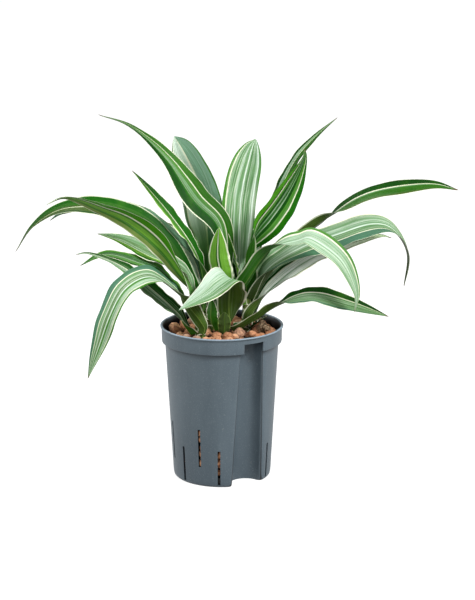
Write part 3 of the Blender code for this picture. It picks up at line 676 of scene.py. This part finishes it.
def plastic_material():
    """Matt slate-blue moulded plastic with faint flow marks, dust and scuffs; painted shade inside the pot,
    toward its foot, under the band and under the recess's roof, and a painted highlight along the lip.
    """
    made, tree = new_material("slate_plastic", roughness=0.5, specular=0.4)
    space = object_space(tree)
    cloud = noise_at(stretched(space, (1.0, 1.0, 0.25)), 26.0, 4.0, 0.6)
    grain = noise_at(space, 900.0)
    dust = noise_at(space, 210.0, 3.0, 0.65)
    painted_shade = attribute(tree, "painted_shade")
    colour = ramp(cloud, ((0.3, (73, 86, 94)), (0.7, (91, 104, 112))))
    # Painted shade: the pot darker toward its foot.
    colour = tinted(colour, rise(height_of(space), 0.1, 0.0) * 0.3, (50, 62, 72))
    colour = tinted(colour, rise(grain, 0.56, 0.72) * 0.3, (128, 140, 146))
    colour = tinted(colour, rise(dust, 0.66, 0.74) * 0.3, (140, 144, 142))
    colour = tinted(colour, rise(dust, 0.3, 0.25) * 0.4, (48, 56, 62))
    # Painted shade: darker in the corner under the band and in the recess under its roof.
    colour = tinted(colour, painted_shade * painted_shade * 0.9, (34, 42, 48))
    # Painted shade: near-black inside the pot.
    colour = tinted(colour, attribute(tree, "inside"), (6, 7, 8))
    # Painted highlight: a pale blue line along the top of the lip.
    colour = tinted(colour, attribute(tree, "lip"), (146, 164, 178))
    return finish_surface(made, colour, grain, strength=0.3, depth=0.0002, rough=spread(cloud, 0.42, 0.6))


def clay_material():
    """Fired clay: tan and orange lumps, each of its own tint, with dark pores and pale dust; the lowest
    tints are painted shade in the gaps between lumps.
    """
    made, tree = new_material("expanded_clay", roughness=0.9, specular=0.25)
    tint = attribute(tree, "tint")
    space = object_space(tree)
    mottle = noise_at(space, 300.0, 4.0, 0.6)
    pores = node(tree, "ShaderNodeTexVoronoi", 0, {"Vector": space, "Scale": 900.0})
    # The darkest stops paint the shade in the gaps, on the bed and the darkest small lumps.
    colour = ramp(tint, ((0.0, (24, 16, 12)), (0.12, (92, 58, 42)), (0.35, (172, 118, 84)),
                         (0.6, (220, 166, 128)), (0.8, (182, 122, 86)), (1.0, (164, 136, 118))))
    colour = tinted(colour, rise(mottle, 0.5, 0.68) * (tint * 0.7), (228, 178, 138))
    colour = tinted(colour, rise(mottle, 0.47, 0.32) * 0.8, (78, 44, 28))
    height = mottle + rise(pores, 0.0, 0.35) * 0.3
    return finish_surface(made, colour, height, strength=0.9, depth=0.0008)


def cane_material():
    """A shoot wrapped in old leaf bases: olive green with fine fibres and cream edges."""
    made, tree = new_material("cane", roughness=0.5, specular=0.4)
    space = object_space(tree)
    fibre = noise_at(stretched(space, (1.0, 1.0, 0.1)), 560.0, 3.0, 0.6)
    patches = rise(noise_at(space, 70.0, 3.0, 0.6), 0.5, 0.7)
    colour = ramp(fibre, ((0.32, (44, 64, 20)), (0.5, (80, 104, 42)), (0.7, (128, 146, 76))))
    colour = tinted(colour, patches * 0.4, (98, 84, 44))
    colour = tinted(colour, attribute(tree, "edge"), COLOURS["cream"][0])
    return finish_surface(made, colour, fibre, strength=0.5, depth=0.0006)


def root_material():
    """Dry, fibrous grey-brown root stubs."""
    made, tree = new_material("root_stub", roughness=0.85, specular=0.2)
    fibre = noise_at(object_space(tree), 700.0, 3.0, 0.7)
    colour = ramp(fibre, ((0.35, (58, 46, 34)), (0.5, (128, 106, 82)), (0.66, (178, 156, 128))))
    return finish_surface(made, colour, fibre, strength=0.8, depth=0.0008)


def floor_material():
    """A plain floor that glows, so it looks white all over."""
    made, tree = new_material("studio_floor", roughness=0.9, specular=0.1)
    inputs = tree.nodes["Principled BSDF"].inputs
    inputs["Emission Color"].default_value = (1.0, 1.0, 1.0, 1.0)
    inputs["Emission Strength"].default_value = FLOOR_GLOW
    cloud = noise_at(object_space(tree), 3.0)
    return finish_surface(made, ramp(cloud, ((0.3, (148, 148, 148)), (0.7, (152, 152, 152)))))


# Meshes


def linked(name, data):
    thing = bpy.data.objects.new(name, data)
    bpy.context.scene.collection.objects.link(thing)
    return thing


def mesh_object(name, mesh, surface):
    mesh.materials.append(surface)
    return linked(name, mesh)


def finish_mesh(shape, name, sharp_angle=50.0):
    """Turn a bmesh in millimetres into a smooth-shaded mesh in metres."""
    bmesh.ops.scale(shape, vec=(MM, MM, MM), verts=shape.verts)
    mesh = bpy.data.meshes.new(name)
    shape.to_mesh(mesh)
    shape.free()
    mesh.shade_smooth()
    mesh.set_sharp_from_angle(angle=math.radians(sharp_angle))
    return mesh


def mark(mesh, name, values, domain="POINT"):
    """Keep a value for each point or face, for the materials to read."""
    mesh.attributes.new(name, "FLOAT", domain).data.foreach_set("value", values)


def skin_rows(shape, rows):
    """Faces between rows of points that each run round a form, and a flat face at either end."""
    for low, high in zip(rows, rows[1:]):
        for i in range(len(low)):
            j = (i + 1) % len(low)
            shape.faces.new((low[i], low[j], high[j], high[i]))
    shape.faces.new(list(reversed(rows[0])))
    shape.faces.new(rows[-1])


def place_piece(thing, slot, *nodes):
    """The piece stands for its CAD nodes and moves with the plant."""
    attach(thing, "root")
    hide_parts(*nodes)


# Pot


def recess_at(z):
    """The distance of the recess's centre from the pot's axis, and its radius, at a height."""
    share = clamped(z / RECESS_TOP_Z)
    return mix(*RECESS_CENTRE, share), mix(*RECESS_RADIUS, share)


def wall_outline(radius, z, inset=0.0):
    """The pot's outline with its recess: a closed row of points that starts in the recess."""
    centre, groove = recess_at(z)
    outer = radius - inset
    groove += inset
    mouth = math.acos((outer ** 2 + centre ** 2 - groove ** 2) / (2.0 * outer * centre))
    corner = polar(outer, mouth)
    mouth_turn = math.atan2(corner.y, corner.x - centre)
    groove_start = mouth_turn + RECESS_LIP_ROUND / groove
    wall_start = mouth + RECESS_LIP_ROUND / outer
    points = []
    for step in range(RECESS_STEPS + 1):
        turn = mix(math.tau - groove_start, groove_start, step / RECESS_STEPS)
        points.append(Vector((centre + groove * math.cos(turn), groove * math.sin(turn))))
    wall = [polar(outer, mix(wall_start, math.tau - wall_start, step / WALL_STEPS))
            for step in range(WALL_STEPS + 1)]
    lip = []
    for step in range(1, LIP_STEPS):
        share = step / LIP_STEPS
        lip.append(points[-1].lerp(corner, share).lerp(corner.lerp(wall[0], share), share))
    far_lip = [Vector((p.x, -p.y)) for p in reversed(lip)]
    return points + lip + wall + far_lip


def round_outline(radius, mouth=LEDGE_MOUTH):
    """A full circle with as many points as the wall outline. Those that face the recess take
    up the angle `mouth` on either side of it, and those of its lips the angle LEDGE_LIP."""
    wall_start = mouth + LEDGE_LIP
    turns = []
    for first, last, count in ((-mouth, mouth, RECESS_STEPS), (mouth, wall_start, LIP_STEPS),
                               (wall_start, math.tau - wall_start, WALL_STEPS),
                               (math.tau - wall_start, math.tau - mouth, LIP_STEPS)):
        turns += [mix(first, last, step / count) for step in range(count)]
    return [polar(radius, turn) for turn in turns]


def loft(rings):
    """A closed solid through rings of (outline, height), with a flat face at either end."""
    shape = bmesh.new()
    skin_rows(shape, [[shape.verts.new((p.x, p.y, z)) for p in outline] for outline, z in rings])
    bmesh.ops.rotate(shape, matrix=Matrix.Rotation(RECESS_ANGLE, 3, "Z"), verts=shape.verts)
    bmesh.ops.recalc_face_normals(shape, faces=shape.faces)
    return shape


def wall_radius(height):
    """The radius of the pot's outer wall, leaving out the recess."""
    if height > BAND_FOOT_Z:
        return BAND_RADIUS
    return mix(BODY_FOOT_RADIUS, BODY_TOP_RADIUS, height / BAND_FOOT_Z)


def outer_rings():
    """The pot's section from the pad under its floor, out and up to just over the recess."""
    crease_z = BAND_FOOT_Z - CREASE_DEPTH
    return [
        (round_outline(PAD_RADIUS - PAD_DRAFT, PAD_MOUTH), 0.0),
        (round_outline(PAD_RADIUS, PAD_MOUTH), FLOOR_Z),
        (wall_outline(FOOT_RADIUS, 0.0, FOOT_RING_WIDTH + FOOT_RING_DRAFT), FLOOR_Z),
        (wall_outline(FOOT_RADIUS, 0.0, FOOT_RING_WIDTH), 0.0),
        *((wall_outline(mix(FOOT_RADIUS, BODY_FOOT_RADIUS, out), z), z) for out, z in FOOT_CURVE),
        (wall_outline(BODY_FOOT_RADIUS, FOOT_CORNER_Z), FOOT_CORNER_Z),
        (wall_outline(wall_radius(crease_z), BAND_FOOT_Z), crease_z),
        (wall_outline(BODY_TOP_RADIUS, BAND_FOOT_Z - WALL), BAND_FOOT_Z - WALL),
        *((wall_outline(radius, BAND_FOOT_Z), BAND_FOOT_Z + lift) for radius, lift in BAND_STEP),
        (wall_outline(BAND_RADIUS, RECESS_TOP_Z), RECESS_TOP_Z),
        (round_outline(BAND_RADIUS), RECESS_TOP_Z + STEP_RISE),
    ]


def inner_rings():
    """The pot's section from under its lip, down inside and over the floor to the pad."""
    pad_inside = PAD_RADIUS - FLOOR_THICKNESS
    return [
        (round_outline(BAND_RADIUS - WALL), RECESS_TOP_Z + STEP_RISE + WALL),
        (wall_outline(BAND_RADIUS, RECESS_TOP_Z, WALL), RECESS_TOP_Z + WALL),
        (wall_outline(BAND_RADIUS - BAND_DRAFT, BAND_FOOT_Z, WALL), BAND_FOOT_Z + WALL),
        (wall_outline(BODY_TOP_RADIUS, BAND_FOOT_Z, WALL), BAND_FOOT_Z + WALL - STEP_RISE),
        (wall_outline(BODY_FOOT_RADIUS, FOOT_CORNER_Z, WALL), FLOOR_TOP_Z + FLOOR_CORNER),
        (wall_outline(BODY_FOOT_RADIUS, FOOT_CORNER_Z, WALL + FLOOR_CORNER), FLOOR_TOP_Z),
        (round_outline(pad_inside, PAD_MOUTH), FLOOR_TOP_Z),
        (round_outline(pad_inside - PAD_DRAFT, PAD_MOUTH), FLOOR_THICKNESS),
    ]


def slot_places():
    """The angle of each slot, and its lowest and highest point. The two heights take turns from
    either end of the row, so the two slots opposite the recess are alike."""
    for index in range(SLOT_COUNT):
        from_end = min(index, SLOT_COUNT - 1 - index)
        heights = HIGH_SLOT_Z if from_end % 2 == 1 else LOW_SLOT_Z
        yield RECESS_ANGLE + SLOT_FIRST_ANGLE + index * SLOT_STEP, *heights


def slot_cutter():
    shape = bmesh.new()
    inner = BODY_FOOT_RADIUS - SLOT_CUT_INSIDE
    outer = BODY_TOP_RADIUS
    for angle, low, high in slot_places():
        box = bmesh.ops.create_cube(shape, size=1.0)["verts"]
        bmesh.ops.scale(shape, vec=(outer - inner, SLOT_WIDTH, high - low), verts=box)
        bmesh.ops.translate(shape, vec=((inner + outer) / 2.0, 0.0, (low + high) / 2.0), verts=box)
        bmesh.ops.rotate(shape, matrix=Matrix.Rotation(angle, 3, "Z"), verts=box)
    return linked("slot_cutter", finish_mesh(shape, "slot_cutter"))


def mark_pot(mesh):
    """Marks for the plastic: painted shade inside the pot, a painted highlight along the lip, and painted
    shade under the band and under the recess's roof."""
    inside, lip, painted_shade = [], [], []
    for vert in mesh.vertices:
        height = vert.co.z / MM
        turned = Matrix.Rotation(-RECESS_ANGLE, 3, "Z") @ vert.co
        centre, groove = recess_at(height)
        from_groove = math.hypot(turned.x / MM - centre, turned.y / MM)
        off_groove = from_groove > groove + WALL * OFF_RECESS_SHARE or height > ROOF_TOP_Z
        radius = math.hypot(vert.co.x, vert.co.y) / MM
        is_inner = off_groove and radius < wall_radius(height) - WALL * INSIDE_SHARE
        depth = (POT_HEIGHT - INSIDE_SHADE_FROM_TOP - height) / INSIDE_SHADE_FADE
        inside.append(clamped(depth) if is_inner else 0.0)
        lip.append(clamped(height - POT_HEIGHT + LIP_HIGHLIGHT_HEIGHT))
        in_recess = not off_groove and radius < wall_radius(height)
        start, reach = ROOF_PAINTED_SHADE if in_recess else BAND_PAINTED_SHADE
        painted_shade.append(clamped(1.0 - (start - height) / reach) if height < start else 0.0)
    for name, values in (("inside", inside), ("lip", lip), ("painted_shade", painted_shade)):
        mark(mesh, name, values)


def make_pot():
    lip_rings = [(round_outline(LIP_RADIUS - inside), POT_HEIGHT - drop) for inside, drop in LIP_ROLL]
    body = loft(outer_rings() + lip_rings + inner_rings())
    pot = mesh_object("culture_pot", finish_mesh(body, "culture_pot"), plastic_material())
    cutter = slot_cutter()
    cut = pot.modifiers.new("Cut", "BOOLEAN")
    cut.operation = "DIFFERENCE"
    cut.solver = "EXACT"
    cut.object = cutter
    graph = bpy.context.evaluated_depsgraph_get()
    slotted = bpy.data.meshes.new_from_object(pot.evaluated_get(graph))
    pot.modifiers.clear()
    pot.data = slotted
    slotted.shade_smooth()
    slotted.set_sharp_from_angle(angle=math.radians(40.0))
    bpy.data.objects.remove(cutter, do_unlink=True)
    mark_pot(slotted)
    place_piece(pot, "slate_plastic", "pot")


# Granules


def is_free(spot, reach, radius, filled, room):
    """Has a lump at the spot room to the wall, the recess, the stems and the other lumps?"""
    centre, groove = recess_at(FILL_TOP_Z)
    if spot.length > BODY_TOP_RADIUS - WALL - room.wall - reach:
        return False
    if (spot - polar(centre, RECESS_ANGLE)).length < groove + WALL + room.recess + reach:
        return False
    if any((spot - stem).length < radius + room.stem for stem in STEM_PLACES):
        return False
    return all((spot - other).length > room.spacing * (radius + size) for other, size in filled)


def granule_spots(rng):
    """The CAD bed's loose top granules, drawn in the same order: each as its place and radius."""
    spots = []
    inside = BODY_TOP_RADIUS - WALL - GRANULE_ROOM.wall
    for _ in range(GRANULE_TRIES):
        radius = rng.uniform(*GRANULE_RADIUS)
        spot = Vector([rng.uniform(-inside, inside) for _ in range(2)])
        if is_free(spot, radius * GRANULE_REACH, radius, spots, GRANULE_ROOM):
            spots.append((spot, radius))
        if len(spots) == GRANULE_COUNT:
            break
    return spots


def random_stretch(ranges, rng):
    return [rng.uniform(low, high) for low, high in ranges]


def random_turn(tilt, rng):
    spin = Matrix.Rotation(rng.uniform(0.0, math.tau), 3, "Z")
    return spin @ Matrix.Rotation(rng.uniform(-tilt, tilt), 3, "X")


def add_lump(shape, tints, centre, radius, stretch, turn, rng, detail=3, tint=LUMP_TINT):
    """One lump of fired clay: a ball with soft dents, pressed flatter one way."""
    ball = bmesh.ops.create_icosphere(shape, subdivisions=detail, radius=1.0)["verts"]
    seed = Vector([rng.uniform(-50.0, 50.0) for _ in range(3)])
    for vert in ball:
        way = vert.co.copy()
        dent = sum(depth * noise.noise(way * scale + seed) for scale, depth in LUMP_DENTS)
        shaped = Vector([a * b for a, b in zip(way, stretch)]) * (1.0 + dent) * radius
        vert.co = turn @ shaped + centre
    tints.extend([rng.uniform(*tint)] * len(ball))


def add_small_lump(shape, tints, spot, height, radius, rng, detail=3, tint=LUMP_TINT):
    stretch = random_stretch(SMALL_STRETCH, rng)
    turn = random_turn(LUMP_TILT, rng)
    add_lump(shape, tints, Vector((*spot, height)), radius, stretch, turn, rng, detail, tint)


def granule_object(name, shape, tints, surface):
    mesh = finish_mesh(shape, name, sharp_angle=80.0)
    mark(mesh, "tint", tints)
    place_piece(mesh_object(name, mesh, surface), "expanded_clay", "clay_granules")


def make_top_granules(clay):
    """The CAD's loose granules, each on its own place, with smaller ones in the gaps."""
    rng, small = random.Random(GRANULE_SEED), random.Random(GRANULE_SEED + 1)
    top, tints = bmesh.new(), []
    filled = granule_spots(rng)
    for spot, radius in filled:
        stretch = random_stretch(GRANULE_STRETCH, rng)
        turn = random_turn(GRANULE_TILT, rng)
        height = FILL_TOP_Z + radius * rng.uniform(*GRANULE_BURIED)
        add_lump(top, tints, Vector((*spot, height)), radius, stretch, turn, small)
    for _ in range(SMALL_TRIES):
        radius = small.uniform(*SMALL_RADIUS)
        spot = Vector([small.uniform(-SMALL_AREA, SMALL_AREA) for _ in range(2)])
        if is_free(spot, radius, radius, filled, SMALL_ROOM):
            filled.append((spot, radius))
            height = FILL_TOP_Z + radius * small.uniform(*SMALL_LIFT)
            add_small_lump(top, tints, spot, height, radius, small, 2, SMALL_TINT_AND_SHADE)
    for away, swing, radius in LEDGE_LUMPS:
        spot = polar(away, RECESS_ANGLE + math.radians(swing))
        height = RECESS_TOP_Z + WALL + radius * LEDGE_LUMP_LIFT
        add_small_lump(top, tints, spot, height, radius, small)
    granule_object("granules_top", top, tints, clay)


def make_slot_granules(clay):
    """The granules that show through the slots."""
    rng = random.Random(GRANULE_SEED + 2)
    side, tints = bmesh.new(), []
    for angle, low, high in slot_places():
        height = max(low, FLOOR_TOP_Z + SLOT_LUMP_MARGIN)
        while height < high + SLOT_LUMP_MARGIN:
            radius = rng.uniform(*SLOT_LUMP_RADIUS)
            away = wall_radius(height) - WALL - GAP - radius * rng.uniform(*SLOT_LUMP_SINK)
            spot = polar(away, angle + rng.uniform(-SLOT_LUMP_SWING, SLOT_LUMP_SWING))
            middle = height + radius * SLOT_LUMP_LIFT
            add_small_lump(side, tints, spot, middle, radius, rng, 2, SLOT_TINT)
            height += radius * rng.uniform(*SLOT_LUMP_STEP)
    granule_object("granules_at_slots", side, tints, clay)


def make_granules():
    clay = clay_material()
    make_top_granules(clay)
    make_slot_granules(clay)
    foot_gap, band_gap, top_gap = BED_GAPS
    bed = loft([
        (wall_outline(BODY_FOOT_RADIUS, FOOT_CORNER_Z, WALL + foot_gap), FLOOR_TOP_Z + BED_OFF_FLOOR),
        (wall_outline(BODY_TOP_RADIUS, BAND_FOOT_Z, WALL + band_gap), BAND_FOOT_Z),
        (wall_outline(BODY_TOP_RADIUS, FILL_TOP_Z, WALL + top_gap), BED_TOP_Z),
    ])
    # The bed takes tint 0, near-black: painted shade that shows in the gaps between the lumps.
    granule_object("granule_bed", bed, [0.0] * len(bed.verts), clay)


def make_root_stubs():
    """Short dry root stubs that stick up between the granules at the right."""
    shape = bmesh.new()
    dents_round, dents_along = ROOT_DENTS
    for points, radius in ROOT_STUBS:
        path = smooth_path([Vector(point) for point in points], ROOT_STEPS)
        rows = []
        for index, centre in enumerate(path[:-1]):
            heading = (path[index + 1] - centre).normalized()
            side = heading.orthogonal().normalized()
            other = heading.cross(side)
            taper = mix(1.0, ROOT_TIP_SHARE, index / ROOT_STEPS)
            row = []
            for step in range(ROOT_SIDES):
                turn = math.tau * step / ROOT_SIDES
                way = side * math.cos(turn) + other * math.sin(turn)
                uneven = 1.0 + ROOT_UNEVEN * noise.noise(way * dents_round + centre * dents_along)
                row.append(shape.verts.new(centre + way * radius * uneven * taper))
            rows.append(row)
        skin_rows(shape, rows)
    bmesh.ops.recalc_face_normals(shape, faces=shape.faces)
    mesh = finish_mesh(shape, "root_stubs", sharp_angle=70.0)
    stubs = mesh_object("root_stubs", mesh, root_material())
    place_piece(stubs, "cane", "clay_granules")


# Stems


def stem_axis(stem, z):
    """The stem's middle at a height."""
    lift = z - STEM_FOOT_Z
    return Vector((stem.x + stem.lean_x * lift, stem.y + stem.lean_y * lift, z))


def stem_radius(stem, z):
    share = (z - STEM_FOOT_Z) / (stem.top - STEM_FOOT_Z)
    return STEM_RADIUS * mix(1.0, STEM_TIP_SHARE, clamped(share))


def wrap_share(stem, z, turn):
    """How far up its leaf base a point on the stem is. The bases slant to either side in turn."""
    slant = WRAP_SLANT * math.cos(turn + stem.x)
    place = ((z + slant) / WRAP_PITCH) % 2.0
    return place if place < 1.0 else ((z - slant) / WRAP_PITCH) % 1.0


def make_stem(name, stem, surface):
    """A shoot wrapped in old leaf bases: each one flares to a thin cream edge that runs round
    it at a slant, and the top is rounded."""
    shape = bmesh.new()
    dents_round, dents_along = STEM_DENTS
    rows, edges = [], []
    for step in range(STEM_RINGS + 1):
        z = mix(STEM_FOOT_Z, stem.top, step / STEM_RINGS)
        middle = stem_axis(stem, z)
        over_dome = max(z - stem.top + DOME_HEIGHT, 0.0)
        dome = math.sqrt(max(1.0 - over_dome ** 2 / DOME_FALL, DOME_LEAST))
        row = []
        for side in range(STEM_SIDES):
            turn = math.tau * side / STEM_SIDES
            share = wrap_share(stem, z, turn)
            radius = stem_radius(stem, z) * (1.0 - WRAP_DEPTH + WRAP_DEPTH * share ** 3) * dome
            way = Vector((math.cos(turn), math.sin(turn), 0.0))
            level = Vector((0.0, 0.0, z * dents_along + stem.x))
            uneven = STEM_UNEVEN * noise.noise(way * dents_round + level)
            row.append(shape.verts.new(middle + way * radius * (1.0 + uneven)))
            edges.append(1.0 if share > 1.0 - WRAP_EDGE else 0.0)
        rows.append(row)
    skin_rows(shape, rows)
    mesh = finish_mesh(shape, "cane_" + name)
    mark(mesh, "edge", edges)
    place_piece(mesh_object("cane_" + name, mesh, surface), "cane", "stem_" + name)


# Leaves


def smooth_path(points, count):
    """Evenly spaced points along a smooth curve through the given ones."""
    first = points[0] * 2.0 - points[1]
    last = points[-1] * 2.0 - points[-2]
    knots = [first, *points, last]
    dense = []
    for a, b, c, d in zip(knots, knots[1:], knots[2:], knots[3:]):
        for step in range(CURVE_STEPS):
            t = step / CURVE_STEPS
            dense.append(0.5 * (2.0 * b + (c - a) * t + (2.0 * a - 5.0 * b + 4.0 * c - d) * t ** 2
                                + (3.0 * b - a - 3.0 * c + d) * t ** 3))
    dense.append(points[-1])
    lengths = [0.0]
    for a, b in zip(dense, dense[1:]):
        lengths.append(lengths[-1] + (b - a).length)
    even = []
    place = 0
    for step in range(count + 1):
        wanted = lengths[-1] * step / count
        while place < len(dense) - 2 and lengths[place + 1] < wanted:
            place += 1
        span = lengths[place + 1] - lengths[place]
        even.append(dense[place].lerp(dense[place + 1], (wanted - lengths[place]) / span))
    return even


def along(values, share):
    """Read a short row of values, evenly spaced from 0 to 1, with eased steps."""
    place = clamped(share) * (len(values) - 1)
    low = min(int(place), len(values) - 2)
    ease = place - low
    return mix(values[low], values[low + 1], ease * ease * (3.0 - 2.0 * ease))


def width_share(share, leaf):
    """The blade's width along its length: a narrow foot, a broad middle and a long point."""
    if share < WIDEST_AT:
        return mix(leaf.base, 1.0, math.sin(math.pi / 2.0 * share / WIDEST_AT))
    fall = (share - WIDEST_AT) / (1.0 - WIDEST_AT)
    return 1.0 - fall ** leaf.blunt


def fold_angle(share):
    """How far each half of the blade stands up from flat."""
    return math.radians(mix(BASE_FOLD, TIP_FOLD, min(share / UNFOLDED_AT, 1.0) ** UNFOLD_EASE))


def leaf_route(leaf):
    """The midrib's points: its base beside the stem, then the listed ones."""
    stem = STEMS[leaf.stem]
    middle = stem_axis(stem, leaf.node)
    toward = Vector(leaf.route[0]) - middle
    climb = toward.z
    toward.z = 0.0
    hug = math.atan(math.tan(math.radians(BASE_FOLD)) * climb / math.hypot(climb, toward.length))
    reach = (stem_radius(stem, leaf.node) + LEAF_THICKNESS / 2.0 + GAP) / math.cos(hug) + leaf.stand
    return [middle + toward.normalized() * reach, *(Vector(point) for point in leaf.route)]


def blade_side(leaf, points, share):
    """The level direction across the blade, on its front side."""
    toward = points[0] - stem_axis(STEMS[leaf.stem], leaf.node)
    heading = points[-1] - points[0]
    front = Vector((heading.y, -heading.x, 0.0)).normalized()
    if front.y > 0.0:
        front.negate()
    at_base = Vector((toward.y, -toward.x, 0.0)).normalized()
    if at_base.dot(front) < 0.0:
        at_base.negate()
    return at_base.lerp(front, along((0.0, 1.0), share / BASE_SHARE)).normalized()


def blade_frames(leaf, stations):
    """For each station its middle, its directions across and up from the face, and its share."""
    points = leaf_route(leaf)
    path = smooth_path(points, stations)
    toward = points[0] - stem_axis(STEMS[leaf.stem], leaf.node)
    upward = 1.0 if blade_side(leaf, points, 0.0).cross(toward).z > 0.0 else -1.0
    for index, centre in enumerate(path[:-1]):
        share = index / stations
        tangent = (path[index + 1] - path[max(index - 1, 0)]).normalized()
        side = blade_side(leaf, points, share)
        side = (side - tangent * side.dot(tangent)).normalized()
        normal = side.cross(tangent) * upward
        turn = math.radians(along(leaf.turn, share))
        face = normal * math.cos(turn) + side * math.sin(turn)
        across = side * math.cos(turn) - normal * math.sin(turn)
        yield centre, across, face, share


def margin_sway(beat, side_phase):
    """The wave of a margin: one slow beat, and a weaker and quicker one over it."""
    strength, quickness = WAVE_SECOND
    return math.sin(beat + side_phase) + strength * math.sin(quickness * beat + 2.0 * side_phase)


def blade_rows(shape, leaf, stations, rng):
    """The rows of points of a blade's upper and under skin, which share their two margins, and
    for each point its place across and along the blade."""
    upper_rows, under_rows, places = [], [], []
    waves = rng.uniform(*WAVE_COUNT)
    phase = rng.uniform(0.0, math.tau)
    ripple = rng.uniform(*WAVE_HEIGHT)
    for centre, across, face, share in blade_frames(leaf, stations):
        half = leaf.width / 2.0 * width_share(share, leaf)
        fold = fold_angle(share)
        keel = mix(*KEEL_ROUND, share)
        swell = ripple * math.sin(math.pi * min(share * WAVE_PACE, 1.0))
        upper, under = [], []
        for step in range(LEAF_COLUMNS + 1):
            c = 2.0 * step / LEAF_COLUMNS - 1.0
            vee = (math.hypot(c, keel) - keel) / (math.hypot(1.0, keel) - keel)
            sway = margin_sway(math.tau * waves * share, phase + (WAVE_SIDE_PHASE if c > 0.0 else 0.0))
            lift = half * vee * math.sin(fold) + swell * abs(c) ** WAVE_TO_MARGIN * sway
            middle = centre + across * half * c * math.cos(fold) + face * lift
            skin = mix(*HALF_SKIN, (1.0 - abs(c)) ** SKIN_EASE)
            rib = RIB_DEPTH * math.exp(-(c * half / RIB_HALF_WIDTH) ** 2)
            vert = shape.verts.new(middle + face * skin)
            upper.append(vert)
            places.append((c, share))
            if step not in (0, LEAF_COLUMNS):
                vert = shape.verts.new(middle - face * (skin + rib))
                places.append((c, share))
            under.append(vert)
        upper_rows.append(upper)
        under_rows.append(under)
    return upper_rows, under_rows, places


def blade_mesh(name, leaf, stations, rng):
    """A closed, thin blade, with marks for its places across and along, and for its underside."""
    shape = bmesh.new()
    upper_rows, under_rows, places = blade_rows(shape, leaf, stations, rng)
    tip = shape.verts.new(leaf_route(leaf)[-1])
    places.append((0.0, 1.0))
    below = []
    for low, high, lower, higher in zip(upper_rows, upper_rows[1:], under_rows, under_rows[1:]):
        for i in range(LEAF_COLUMNS):
            shape.faces.new((low[i], low[i + 1], high[i + 1], high[i]))
            below.append(shape.faces.new((lower[i + 1], lower[i], higher[i], higher[i + 1])))
    for i in range(LEAF_COLUMNS):
        shape.faces.new((upper_rows[-1][i], upper_rows[-1][i + 1], tip))
        below.append(shape.faces.new((under_rows[-1][i + 1], under_rows[-1][i], tip)))
    first, foot = upper_rows[0], under_rows[0]
    shape.faces.new((first[1], first[0], foot[1]))
    for i in range(1, LEAF_COLUMNS - 1):
        shape.faces.new((first[i + 1], first[i], foot[i], foot[i + 1]))
    shape.faces.new((first[-1], first[-2], foot[-2]))
    shape.faces.index_update()
    below_indices = {face.index for face in below}
    flags = [1.0 if face.index in below_indices else 0.0 for face in shape.faces]
    mesh = finish_mesh(shape, name, sharp_angle=60.0)
    mark(mesh, "across", [across for across, _ in places])
    mark(mesh, "along", [share for _, share in places])
    mark(mesh, "under", flags, "FACE")
    return mesh


def make_leaf(name, leaf, rng, seed):
    is_sheath = name.startswith("sheath")
    label = name.replace("leaf_", "blade_").replace("sheath_", "scale_leaf_")
    mesh = blade_mesh(label, leaf, SHEATH_STATIONS if is_sheath else LEAF_STATIONS, rng)
    piece = mesh_object(label, mesh, leaf_material(label, LOOKS.get(name, STRIPED), seed))
    place_piece(piece, "sheath" if is_sheath else "leaf", name)


# Studio


def aimed(name, data, place, way):
    """A camera or light at a place in metres, turned to look the given way."""
    thing = linked(name, data)
    thing.location = place
    thing.rotation_mode = "QUATERNION"
    thing.rotation_quaternion = way.to_track_quat("-Z", "Y")
    return thing


def make_camera():
    yaw, pitch = math.radians(CAMERA_YAW), math.radians(CAMERA_PITCH)
    ahead = Vector((math.sin(yaw) * math.cos(pitch), math.cos(yaw) * math.cos(pitch), math.sin(pitch)))
    data = bpy.data.cameras.new("camera")
    data.sensor_width = SENSOR
    data.lens = LENS
    data.clip_end = 100.0
    bpy.context.scene.camera = aimed("camera", data, Vector(CAMERA_PLACE) * MM, ahead)


def area_light(name, place, size, power):
    data = bpy.data.lights.new(name, "AREA")
    data.shape = "DISK"
    data.size = size
    data.energy = power
    aimed(name, data, place, LIGHT_AIM - Vector(place))


def make_sky():
    """A soft box of light: bright overhead and dimmer toward the floor."""
    world = bpy.data.worlds.new("studio")
    bpy.context.scene.world = world
    world.use_nodes = True
    tree = world.node_tree
    height = height_of(node(tree, "ShaderNodeTexCoord", "Generated"))
    colour, _ = ramp_outputs(height * 0.5 + 0.5, SKY)
    tree.links.new(colour.socket, tree.nodes["Background"].inputs["Color"])


def make_studio():
    shape = bmesh.new()
    bmesh.ops.create_grid(shape, x_segments=4, y_segments=4, size=FLOOR_SIZE)
    floor = mesh_object("studio_floor", finish_mesh(shape, "studio_floor"), floor_material())
    floor.visible_diffuse = False
    make_sky()
    for light in LIGHTS:
        area_light(*light)
    bpy.context.scene.view_settings.view_transform = "Standard"


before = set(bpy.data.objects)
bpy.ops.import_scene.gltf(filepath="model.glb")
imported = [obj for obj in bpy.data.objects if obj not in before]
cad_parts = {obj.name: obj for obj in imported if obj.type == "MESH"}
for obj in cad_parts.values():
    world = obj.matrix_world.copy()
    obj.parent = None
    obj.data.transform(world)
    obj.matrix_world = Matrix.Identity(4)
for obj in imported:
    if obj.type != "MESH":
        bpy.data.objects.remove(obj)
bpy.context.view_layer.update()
make_camera()
make_studio()
make_pot()
make_granules()
make_root_stubs()
cane = cane_material()
for stem_name, stem_shape in STEMS.items():
    make_stem(stem_name, stem_shape, cane)
waves_rng = random.Random(WAVE_SEED)
for number, (leaf_name, leaf_shape) in enumerate(LEAVES.items()):
    make_leaf(leaf_name, leaf_shape, waves_rng, LINES_SEED_STEP * number)
